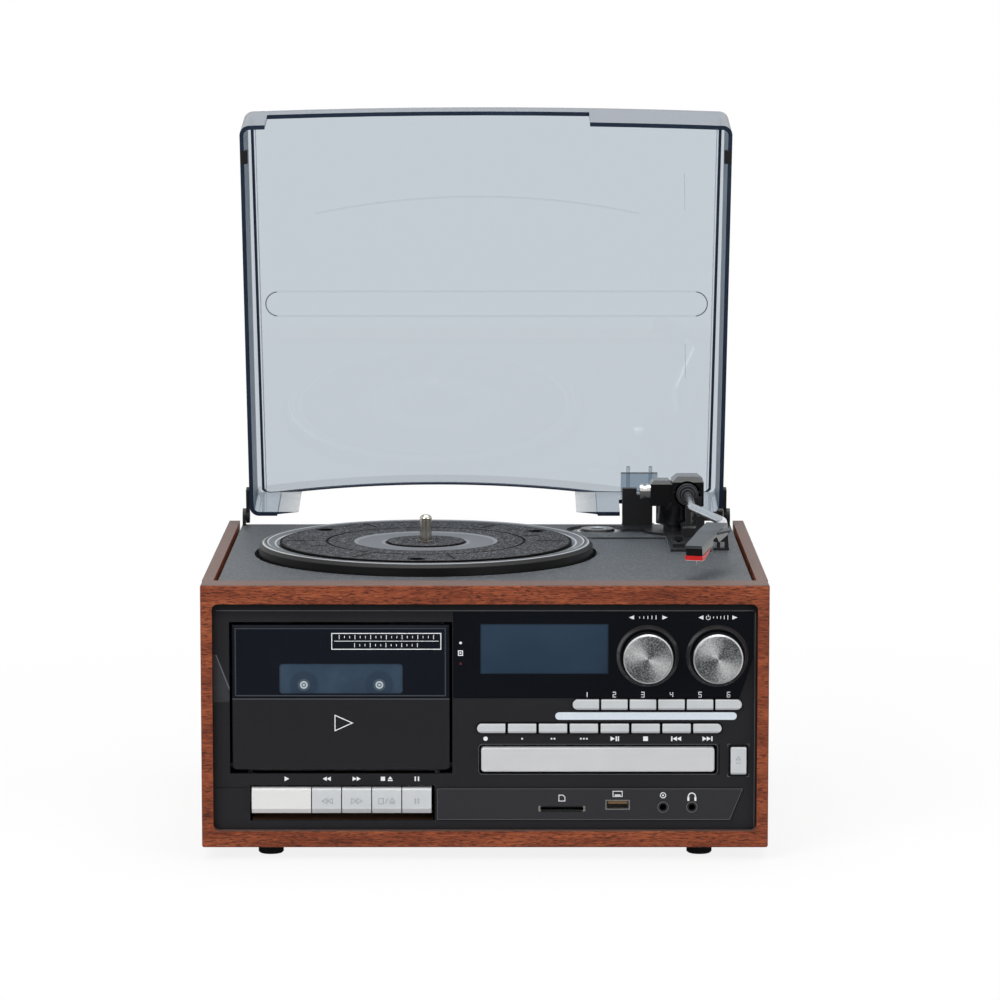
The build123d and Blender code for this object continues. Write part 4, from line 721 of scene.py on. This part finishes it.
def cone_finish():
    """Dark paper of the loudspeakers' cones."""
    look = Finish("speaker cone", Specular_IOR_Level=0.3)
    fibre = look.noise(1.4, 4, 0.7)
    return look.set(Base_Color=look.mix(fibre, rgb(20, 20, 21), rgb(44, 43, 42)),
                    Roughness=0.75 + fibre * 0.1).bump(fibre, 0.06).material


WOOD_FRONT = wood("wood across the front", 0)
WOOD_SIDE = wood("wood along the sides", 1)
BOARD = fibreboard()
DECK = deck_finish()
BLACK = moulded("black moulded plastic", rgb(30, 30, 32), 0.38)
MATT = moulded("matt black plastic", rgb(26, 26, 27), 0.6, specular=0.25)
GLOSS = moulded("gloss black plastic", rgb(15, 15, 17), 0.14, 3.0, 0.004)
GREY_SHELL = moulded("headshell grey", rgb(58, 62, 66), 0.3, specular=0.5)
RUBBER = moulded("rubber", rgb(24, 24, 25), 0.8, 0.6, 0.03, 0.25)
CHROME = plated("bright plating", rgb(214, 213, 210), 0.08)
TURNED = plated("turned steel", rgb(196, 190, 180), 0.16, 2)
STEEL = plated("plain steel", rgb(168, 168, 170), 0.28)
SILVER = silver("pale silver paint", rgb(203, 206, 208))
KEY = silver("key silver", rgb(206, 209, 211))
FIRST_KEY = silver("first key", rgb(228, 228, 227), 0.4)
TRAY = silver("tray front", rgb(206, 207, 209), 0.36)
FUNCTION_BUTTON = button_finish("function buttons", "function_button_2")
TRANSPORT_BUTTON = button_finish("transport buttons", "transport_button_2")
SMOKED = smoked_acrylic()

finish_of = {
    "front_frame": WOOD_FRONT, "side_boards": WOOD_SIDE, "base_board": BOARD, "back_panel": MATT,
    "feet": RUBBER, "speakers": cone_finish(), "top_deck": DECK, "spindle": TURNED,
    "platter": platter_finish(), "platter_mat": mat_finish(), "drive_motor": STEEL, "motor_pulley": TURNED,
    "drive_belt": RUBBER, "adaptor_45": adaptor_finish(), "tonearm_base": BLACK, "tonearm_yoke": GLOSS,
    "arm_bearing": CHROME, "tonearm_tube": tube_finish(), "headshell": GREY_SHELL, "cartridge": GLOSS,
    "stylus": stylus_finish(), "cue_lever": GLOSS, "speed_switch": BLACK, "dust_cover": SMOKED,
    "lid_fittings": MATT, "hinge_brackets": BLACK, "fascia": fascia_finish(), "display_lens": lens_finish(),
    "lcd": printed("display glass", rgb(44, 62, 82), 0.2),
    "tuning_knob": knob_finish("tuning_knob", 152), "volume_knob": knob_finish("volume_knob", 128),
    "cassette_door": door_finish(), "door_window": window_finish(), "tape_mechanism": STEEL,
    "left_tape_hub": SILVER, "right_tape_hub": SILVER, "cd_tray": TRAY, "cd_mechanism": BLACK,
    "open_close_button": button_finish("open button", "open_close_button"),
    "circuit_boards": circuit_finish(), "sockets": socket_finish(),
}
for name, node in nodes.items():
    if name in finish_of:
        material = finish_of[name]
    elif name.startswith("cassette_key"):
        material = FIRST_KEY if name.endswith("1") else KEY
    else:
        material = FUNCTION_BUTTON if name.startswith("function") else TRANSPORT_BUTTON
    node.data.materials.clear()
    node.data.materials.append(material)


# -------------------- making new pieces
def piece(name, body, material, faces_of):
    """A mesh piece that rides on a body. faces_of fills its bmesh."""
    mesh = bpy.data.meshes.new(name)
    bm = bmesh.new()
    faces_of(bm)
    bmesh.ops.recalc_face_normals(bm, faces=bm.faces)
    bm.to_mesh(mesh)
    bm.free()
    mesh.materials.append(material)
    made = bpy.data.objects.new(name, mesh)
    bpy.context.scene.collection.objects.link(made)
    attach(made, body)


def raised(bm, loop, low, high, place):
    """A flat-sided plate: loop is its outline in two coordinates, low and high its two faces' level."""
    rings = [[bm.verts.new(place(u, v, level)) for u, v in loop] for level in (low, high)]
    bm.faces.new(rings[1])
    bm.faces.new(list(reversed(rings[0])))
    for i in range(len(loop)):
        j = (i + 1) % len(loop)
        bm.faces.new((rings[0][i], rings[0][j], rings[1][j], rings[1][i]))


def stroke(points, width, closed=False):
    """Quads of a drawn line of that width along points, mitred at its corners."""
    count = len(points)
    sides = []
    for i, (u, v) in enumerate(points):
        before = points[i - 1] if closed or i else None
        after = points[(i + 1) % count] if closed or i < count - 1 else None
        normals = []
        for a, b in ((before, (u, v)), ((u, v), after)):
            if a is None or b is None:
                continue
            du, dv = b[0] - a[0], b[1] - a[1]
            size = math.hypot(du, dv)
            normals.append((-dv / size, du / size))
        nu = sum(n[0] for n in normals) / len(normals)
        nv = sum(n[1] for n in normals) / len(normals)
        scale = width / 2 / (nu * nu + nv * nv)
        sides.append(((u + nu * scale, v + nv * scale), (u - nu * scale, v - nv * scale)))
    pairs = [(i, (i + 1) % count) for i in range(count if closed else count - 1)]
    return [[sides[i][0], sides[j][0], sides[j][1], sides[i][1]] for i, j in pairs]


def arc(u, v, radius, start, end, steps=20):
    """Points along an arc, its angles in degrees."""
    turns = [math.radians(start + (end - start) * i / steps) for i in range(steps + 1)]
    return [(u + radius * math.cos(t), v + radius * math.sin(t)) for t in turns]


def disc(u, v, radius, steps=18):
    """Points round a whole circle."""
    return arc(u, v, radius, 0, 360, steps)[:-1]


def frame_line(u0, u1, v0, v1, corner=0.0, steps=6):
    """Outline of a rectangle, with round corners if given a radius."""
    if not corner:
        return [(u0, v0), (u1, v0), (u1, v1), (u0, v1)]
    c = corner
    return (arc(u0 + c, v0 + c, c, 180, 270, steps) + arc(u1 - c, v0 + c, c, 270, 360, steps)
            + arc(u1 - c, v1 - c, c, 0, 90, steps) + arc(u0 + c, v1 - c, c, 90, 180, steps))


def triangle(u, v, wide, tall, way):
    """Arrow head with its middle at u, v. way is 1 for right and -1 for left."""
    return [(u - way * wide / 2, v - tall / 2), (u - way * wide / 2, v + tall / 2), (u + way * wide / 2, v)]


def bar(u, v, wide, tall):
    return frame_line(u - wide / 2, u + wide / 2, v - tall / 2, v + tall / 2)


PRINT_FOOT, PRINT_TOP, EMBOSSED_TOP = 0.005, 0.06, 0.2  # levels above the surface that carries a mark


def print_on(name, loops, depth, body="root", material=None, top=PRINT_TOP):
    """Flat marks on a front surface at that depth."""
    def fill(bm):
        for loop in loops:
            raised(bm, loop, PRINT_FOOT, top, lambda u, v, level: at(u, depth - level, v))
    piece(name, body, material or INK, fill)


def edge_highlight(name, loops, depth):
    """A painted highlight along an edge of the black front."""
    print_on(name, loops, depth, material=EDGE_HIGHLIGHT)


def emboss(name, loops, node, body):
    """Raised marks on the front of a key or button."""
    print_on(name, loops, front_of(node), body, EMBOSSED, top=EMBOSSED_TOP)


INK = printed("pale ink", rgb(236, 238, 240))
PALE_BAR = printed("pale blue bar", rgb(214, 224, 233), 0.3)
# thin painted highlights along edges of the front
EDGE_HIGHLIGHT = printed("painted edge highlight", rgb(92, 94, 98), 0.35)
EMBOSSED = silver("embossed silver", rgb(172, 176, 180))
RED_LED = printed("red lamp", rgb(96, 26, 30), 0.2)

# -------------------- marks on the display's lens
tuning_x, volume_x = (middle(knob)[0] for knob in KNOBS)
marks = []
for knob_x, spread in ((tuning_x, 10.2), (volume_x, 10.4)):
    marks.append(triangle(knob_x - spread + 1.0, KNOB_MARKS_Z, 2.9, 2.4, -1))
    marks.append(triangle(knob_x + spread - 0.6, KNOB_MARKS_Z, 2.9, 2.4, 1))
power_x = volume_x - 5.2
marks += stroke(arc(power_x, KNOB_MARKS_Z - 0.1, 1.15, 130, 410), 0.32)
marks.append(bar(power_x, KNOB_MARKS_Z + 0.8, 0.32, 1.5))
marks += stroke(frame_line(-14.9, -12.6, 109.3, 111.9), 0.5, True) + [bar(-13.75, 110.6, 0.9, 0.9)]
print_on("knob_marks", marks, LENS_FACE)
print_on("lamp_upper", [disc(LAMPS_X, 116.4, 0.75, 16)], LENS_FACE)
print_on("lamp_red", [disc(LAMPS_X, 104.6, 0.8, 16)], LENS_FACE, material=RED_LED)

# a turning scale between each knob's arrows
ticks = []
for first_x, pitch in ((tuning_x - 4.6, 2.3), (volume_x - 2.2, 2.0)):
    ticks += [bar(first_x + pitch * i, KNOB_MARKS_Z, 0.4, 1.0 + 0.35 * i) for i in range(5)]
print_on("knob_scales", ticks, LENS_FACE)

# which of a digit's seven bars each number has, lettered clockwise from the top and g in the middle
DIGIT_BARS = {1: "bc", 2: "abged", 3: "abgcd", 4: "fgbc", 5: "afgcd", 6: "afgecd"}
DIGIT_WIDE, DIGIT_TALL, DIGIT_LINE = 1.5, 2.8, 0.42


def digit(figure, u, v):
    """A plain number of straight bars."""
    flat, upright = (DIGIT_WIDE + DIGIT_LINE, DIGIT_LINE), (DIGIT_LINE, DIGIT_TALL / 2)
    half, left, right = DIGIT_TALL / 2, u - DIGIT_WIDE / 2, u + DIGIT_WIDE / 2
    bars = {"a": (u, v + half, *flat), "g": (u, v, *flat), "d": (u, v - half, *flat),
            "b": (right, v + half / 2, *upright), "c": (right, v - half / 2, *upright),
            "e": (left, v - half / 2, *upright), "f": (left, v + half / 2, *upright)}
    return [bar(*bars[side]) for side in DIGIT_BARS[figure]]


numbers = []
for i in DIGIT_BARS:
    numbers += digit(i, middle(f"function_button_{i}")[0], NUMBERS_Z)
print_on("button_numbers", numbers, LENS_FACE)

# -------------------- marks on the front
ROW_X, ROW_PITCH = 3.55, 17.43  # middle of the lower row's first button, and from one to the next
row = [ROW_X + ROW_PITCH * i for i in range(8)]


def row_bar(x):
    return bar(x, ROW_MARKS_Z, 0.75, 2.7)


def row_arrow(x, way, wide=2.4):
    return triangle(x, ROW_MARKS_Z, wide, 2.7, way)


symbols = [disc(row[0] - 3.2, ROW_MARKS_Z, 1.25)]
symbols += [row_arrow(row[4] - 1.1, 1, 2.5), row_bar(row[4] + 0.9), row_bar(row[4] + 2.1)]
symbols += [bar(row[5], ROW_MARKS_Z, 2.7, 2.6)]
for x, way in ((row[6], -1), (row[7], 1)):
    symbols += [row_bar(x + way * 2.6), row_arrow(x + way * 0.9, way), row_arrow(x - way * 1.5, way)]
for i in (1, 2, 3):
    symbols += [bar(row[i] + 1.7 * (n - (i - 1) / 2), ROW_MARKS_Z, 0.9, 0.9) for n in range(i)]
print_on("row_marks", symbols, FACE)

keys = [middle(f"cassette_key_{i}")[0] for i in range(1, 6)]
symbols = [triangle(keys[0] + 3.0, KEY_MARKS_Z, 2.6, 2.8, 1)]
for x, way in ((keys[1] - 1.1, -1), (keys[1] + 1.2, -1), (keys[2] - 1.2, 1), (keys[2] + 1.1, 1)):
    symbols += [triangle(x, KEY_MARKS_Z, 2.3, 2.6, way)]
symbols += [bar(keys[3] - 2.2, KEY_MARKS_Z, 2.4, 2.4), bar(keys[3] + 1.9, KEY_MARKS_Z - 1.0, 2.8, 0.6)]
symbols += [[(keys[3] + 0.5, KEY_MARKS_Z - 0.3), (keys[3] + 3.3, KEY_MARKS_Z - 0.3),
             (keys[3] + 1.9, KEY_MARKS_Z + 1.4)]]
symbols += [bar(keys[4] - 0.9, KEY_MARKS_Z, 0.8, 2.6), bar(keys[4] + 0.9, KEY_MARKS_Z, 0.8, 2.6)]
print_on("key_marks", symbols, FACE)

# a card's outline, a plain port, a ring with a dot and a headphone over their sockets
card = [(-1.7, 26.0), (-1.7, 29.4), (0.6, 29.4), (1.7, 28.3), (1.7, 26.0)]
signs = stroke([(CARD_X + x, z) for x, z in card], 0.4, True)
signs += stroke(frame_line(PORT_X - 2.6, PORT_X + 2.6, 28.6, 31.6), 0.4, True) + [bar(PORT_X, 29.4, 3.2, 0.7)]
signs += stroke(disc(LINE_IN_X, 29.3, 1.5), 0.45, True) + [bar(LINE_IN_X, 29.3, 0.9, 0.9)]
print_on("socket_signs", signs, STRIP_FACE)
phones = stroke(arc(PHONES_X, 28.6, 2.0, -10, 190), 0.6)
phones += [bar(PHONES_X - 2.0, 27.3, 1.1, 2.4), bar(PHONES_X + 2.0, 27.3, 1.1, 2.4)]
print_on("headphone_mark", phones, STRIP_FACE)

# cassette door: outlined play arrow, and a label frame with two plain scales
print_on("door_arrow", stroke([(-84.6, 66.4), (-84.6, 75.2), (-74.8, 70.8)], 0.5, True), DOOR_FACE, "door")
label = stroke(frame_line(-86.2, -24.8, 113.0, 122.0), 0.45, True) + [bar(-55.5, 117.6, 58.8, 0.3)]
for first_x, tick_z, count in ((-82.0, 119.9, 19), (-73.4, 115.3, 13)):
    label += [bar(first_x + 2.95 * i, tick_z, 0.35, 2.4 if i % 3 == 0 else 1.3) for i in range(count)]
print_on("door_label_frame", label, DOOR_PANEL, "door")

# pale bar between the rows of buttons
print_on("function_bar", [frame_line(39.7, 142.1, 72.5, 76.8, 2.1)], BAR_FACE, material=PALE_BAR)

# -------------------- embossed marks on keys and buttons
for name, x0, x1, way, i in (("rewind_mark", -1.2, 2.0, -1, 2), ("forward_mark", -1.6, 1.6, 1, 3)):
    arrows = [stroke(triangle(keys[i - 1] + x, KEY_Z, 2.8, 3.2, way), 0.35, True) for x in (x0, x1)]
    emboss(name, arrows[0] + arrows[1], f"cassette_key_{i}", f"key_{i}")
eject_arrow = [(keys[3] + 1.6, KEY_Z - 0.6), (keys[3] + 4.6, KEY_Z - 0.6), (keys[3] + 3.1, KEY_Z + 1.7)]
emboss("stop_mark", stroke(bar(keys[3] - 3.2, KEY_Z, 2.6, 3.0), 0.35, True)
       + stroke([(keys[3] - 0.9, KEY_Z - 1.5), (keys[3] + 0.6, KEY_Z + 1.5)], 0.35)
       + stroke(eject_arrow, 0.35, True) + [bar(keys[3] + 3.1, KEY_Z - 1.5, 3.0, 0.4)],
       "cassette_key_4", "key_4")
emboss("pause_mark", [bar(keys[4] - 0.8, KEY_Z, 0.8, 3.2), bar(keys[4] + 0.9, KEY_Z, 0.8, 3.2)],
       "cassette_key_5", "key_5")
open_x, _, open_z = middle("open_close_button")
open_arrow = [(open_x - 1.2, open_z + 0.6), (open_x + 1.2, open_z + 0.6), (open_x, open_z + 2.6)]
emboss("open_mark", stroke(open_arrow, 0.3, True) + [bar(open_x, open_z - 1.2, 2.6, 0.4)],
       "open_close_button", "eject")

# -------------------- painted highlights along edges of the front
edge_highlight("tray_recess_highlight", stroke(frame_line(-3.6, 131.6, 41.2, 58.4, 2.0), 0.28, True), FACE)
strip_line = [(STRIP_X0, STRIP_Z0), (STRIP_X1, STRIP_Z0), (145.6, STRIP_Z1), (STRIP_X0, STRIP_Z1)]
edge_highlight("strip_edge_highlight", stroke(strip_line, 0.25, True), STRIP_FACE)
corners = []
for u, way in ((137.2, -1), (149.2, 1)):
    for v, rise in ((39.9, -1), (58.5, 1)):
        corners += stroke([(u, v - rise * 1.6), (u, v), (u - way * 1.4, v)], 0.3)
edge_highlight("open_button_corner_highlights", corners, FACE)
edge_highlight("fascia_top_highlight", stroke([(-151.5, 134.7), (151.5, 134.7)], 0.3), FACE)
edge_highlight("fascia_right_highlight", stroke([(152.2, 10.6), (152.2, 133.8)], 0.3), FACE)

# -------------------- back panel: screws and socket rings
BACK_FACE = (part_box("back_panel")[1].y - CORNER.y) / MM
SCREW_INSET = 7.0
SCREW_STEPS = 20
SLOT_FOOT, SLOT_TOP = 1.0, 1.27
SCREW_PROFILE = ((3.3, 0.0), (3.1, 0.6), (2.2, 1.1), (0.9, 1.25))  # radius and level, from the foot up
low_x, high_x = (corner.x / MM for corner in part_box("back_panel"))
low_z, high_z = reach_z("back_panel")
screws = [(u, v) for u in (low_x + SCREW_INSET, 0.0, high_x - SCREW_INSET)
          for v in (low_z + SCREW_INSET, high_z - SCREW_INSET)]


def on_back(u, v, level):
    return at(u, BACK_FACE + level, v)


def screw_heads(bm):
    for u, v in screws:
        rings = [[bm.verts.new(on_back(*point, level)) for point in disc(u, v, radius, SCREW_STEPS)]
                 for radius, level in SCREW_PROFILE]
        for inside, outside in zip(rings[1:], rings):
            for i in range(SCREW_STEPS):
                j = (i + 1) % SCREW_STEPS
                bm.faces.new((outside[i], outside[j], inside[j], inside[i]))
        bm.faces.new(rings[-1])
        bm.faces.new(list(reversed(rings[0])))


def screw_slots(bm):
    for u, v in screws:
        for wide, tall in ((3.6, 0.7), (0.7, 3.6)):
            raised(bm, bar(u, v, wide, tall), SLOT_FOOT, SLOT_TOP, on_back)


def ring_round(u):
    """Fills a flat ring round a line-out jack."""
    def fill(bm):
        for quad in stroke(disc(u, LINE_OUT_Z, 6.4, 24), 1.0, True):
            raised(bm, quad, PRINT_FOOT, 0.12, on_back)
    return fill


piece("back_screws", "root", STEEL, screw_heads)
piece("back_screw_slots", "root", BLACK, screw_slots)
piece("line_out_ring_pale", "root", INK, ring_round(LINE_OUT_X[0]))
piece("line_out_ring_red", "root", RED_LED, ring_round(LINE_OUT_X[1]))


# -------------------- dust cover's moulded lines, its inner edge, painted glints and bright lines
def lid_line(name, points, radius, material):
    """A fine line on the inside of the cover's panel, for its moulded ridges, its inner edge, painted glints
    and bright lines. points are x and shut depth.
    """
    curve = bpy.data.curves.new(name, "CURVE")
    curve.dimensions = "3D"
    curve.bevel_depth = radius * MM
    curve.bevel_resolution = 1
    spline = curve.splines.new("POLY")
    spline.points.add(len(points) - 1)
    for point, (x, depth) in zip(spline.points, points):
        point.co = (*on_lid(x, depth, PANEL_INSIDE), 1.0)
    curve.materials.append(material)
    made = bpy.data.objects.new(name, curve)
    bpy.context.scene.collection.objects.link(made)
    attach(made, "lid")


RIDGE = printed("moulded ridge", rgb(126, 138, 150), 0.2)
NAVY = printed("navy edge of the cover", rgb(34, 47, 68), 0.15)
GLINT = printed("painted glint and bright line", rgb(226, 233, 238), 0.25)
ARCH_STEPS = 12
CAPSULE_DEPTH, CAPSULE_RADIUS = 142.3, 7.7
BRIGHT_LINES = ((122.4, 60.0, 83.0), (124.0, 168.0, 190.0))  # x, and the depths they run between

cover_low, cover_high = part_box("dust_cover")
half = (cover_high.x - cover_low.x) / 2 / MM
arch = [(ARCH_X + ARCH_HALF * t / ARCH_STEPS, ARCH_DEPTH - ARCH_RISE * (1 - (t / ARCH_STEPS) ** 2))
        for t in range(-ARCH_STEPS, ARCH_STEPS + 1)]
rising = [(-half + 5.0, 27.0), (-half + 8.6, 262.0), (-half + 12.6, 265.6)]
falling = [(-x, depth) for x, depth in reversed(rising)]
lid_line("cover_inner_edge", rising + arch + falling, 0.95, NAVY)
# painted highlights along the inside of the cover's sides
lid_line("cover_glint_left", [(x + 2.0, depth) for x, depth in rising[:2]], 0.3, GLINT)
lid_line("cover_glint_right", [(x - 2.0, depth) for x, depth in falling[1:]], 0.3, GLINT)
lid_line("cover_capsule_left", arc(-129.6, CAPSULE_DEPTH, CAPSULE_RADIUS, 95, 265, 16), 0.34, RIDGE)
lid_line("cover_capsule_right", arc(129.9, CAPSULE_DEPTH, CAPSULE_RADIUS, -85, 85, 16), 0.34, RIDGE)
for i, (x, y0, y1) in enumerate(BRIGHT_LINES):
    lid_line(f"cover_bright_line_{i}", [(x, y0), (x + 0.3, (y0 + y1) / 2), (x + 0.4, y1)], 0.16, GLINT)

# -------------------- camera, light and floor
# in front of the part and tilted down; place and lens were fitted to the photo's outlines
CAMERA_PLACE, CAMERA_TILT, CAMERA_LENS = at(8.5, -2443.0, 509.8), 7.27, 158.4
camera = bpy.data.objects.new("camera", bpy.data.cameras.new("camera"))
bpy.context.scene.collection.objects.link(camera)
camera.location = CAMERA_PLACE
camera.rotation_euler = (math.radians(90 - CAMERA_TILT), 0.0, 0.0)
camera.data.lens = CAMERA_LENS
camera.data.sensor_width = 36.0
camera.data.clip_end = 200.0
bpy.context.scene.camera = camera
bpy.context.scene.view_settings.view_transform = "Standard"


def softbox(name, place, target, size, power):
    """Square lamp, with places and size in metres and its power in watts."""
    lamp = bpy.data.lights.new(name, "AREA")
    lamp.shape, lamp.size, lamp.energy = "SQUARE", size, power
    made = bpy.data.objects.new(name, lamp)
    bpy.context.scene.collection.objects.link(made)
    made.location = place
    made.rotation_euler = (Vector(target) - Vector(place)).to_track_quat("-Z", "Y").to_euler()


softbox("key light", (-1.3, -1.9, 1.7), (0, 0, 0.12), 1.3, 38.0)
softbox("fill light", (1.6, -1.7, 1.0), (0, 0, 0.12), 1.3, 15.0)
softbox("top light", (0.1, 0.2, 2.1), (0, 0, 0.1), 1.6, 30.0)


def rays_in(tree):
    """The LightPath node's values for camera, glossy and transmitted rays."""
    return [tree.node("LightPath", {}, {}, output=i) for i in (0, 3, 6)]


# white where it is seen; glossy surfaces find it dim ahead of the part, and it lights the part softly
LIT_BY, DIM = 0.26, 0.12
world = bpy.data.worlds.new("studio")
bpy.context.scene.world = world
world.use_nodes = True
sky = Nodes(world.node_tree)
by_camera, by_gloss, through = rays_in(sky)
seen = by_camera | by_gloss | through
direction = sky.node("TexCoord", {}, {}, output=GENERATED)
ahead, upward = (sky.node("SeparateXYZ", {}, {0: direction}, output=i) for i in (1, 2))
shown = DIM + (ahead.above(-0.3, 0.7) | upward.above(0.35, 0.5)) * (1 - DIM)
shown = shown | by_camera | through
background = world.node_tree.nodes["Background"]
sky.feed(background.inputs["Color"], (1, 1, 1, 1))
sky.feed(background.inputs["Strength"], seen * shown + (1 - seen) * LIT_BY)


def floor_finish():
    """Pale floor that keeps the soft shadow and runs into the white background further out."""
    look = Finish("pale floor", Specular_IOR_Level=0.2)
    point = look.place()
    x, y = (look.node("SeparateXYZ", {}, {0: point}, output=i) for i in range(2))
    reach = distance(x, y)
    camera_ray, glossy_ray, through_ray = rays_in(look)
    white = look.node("Emission", {}, {"Color": (1, 1, 1, 1), "Strength": 1.0})
    share = (camera_ray | through_ray) * (0.86 + reach.above(0.5, 0.6) * 0.14)
    share = share | glossy_ray * y.above(0.0, 0.6)
    dim = glossy_ray * y.below(-0.2, 0.4)
    look.set(Base_Color=look.mix(dim, (0.86, 0.86, 0.865, 1.0), (0.12, 0.12, 0.125, 1.0)),
             Roughness=0.8 + look.noise(4.0, 2, 0.5) * 0.1)
    mixed = look.node("MixShader", {}, {0: share, 1: Value(look, look.shader.outputs[0]), 2: white})
    look.tree.links.new(mixed.socket, look.tree.nodes["Material Output"].inputs["Surface"])
    return look.material


FLOOR_RADIUS, FLOOR_DROP = 60.0, 0.0002  # metres; just under the feet
floor_mesh = bpy.data.meshes.new("floor")
bm = bmesh.new()
bmesh.ops.create_circle(bm, cap_ends=True, segments=64, radius=FLOOR_RADIUS)
bm.to_mesh(floor_mesh)
bm.free()
floor_mesh.materials.append(floor_finish())
floor = bpy.data.objects.new("floor", floor_mesh)
bpy.context.scene.collection.objects.link(floor)
floor.location.z = -FLOOR_DROP
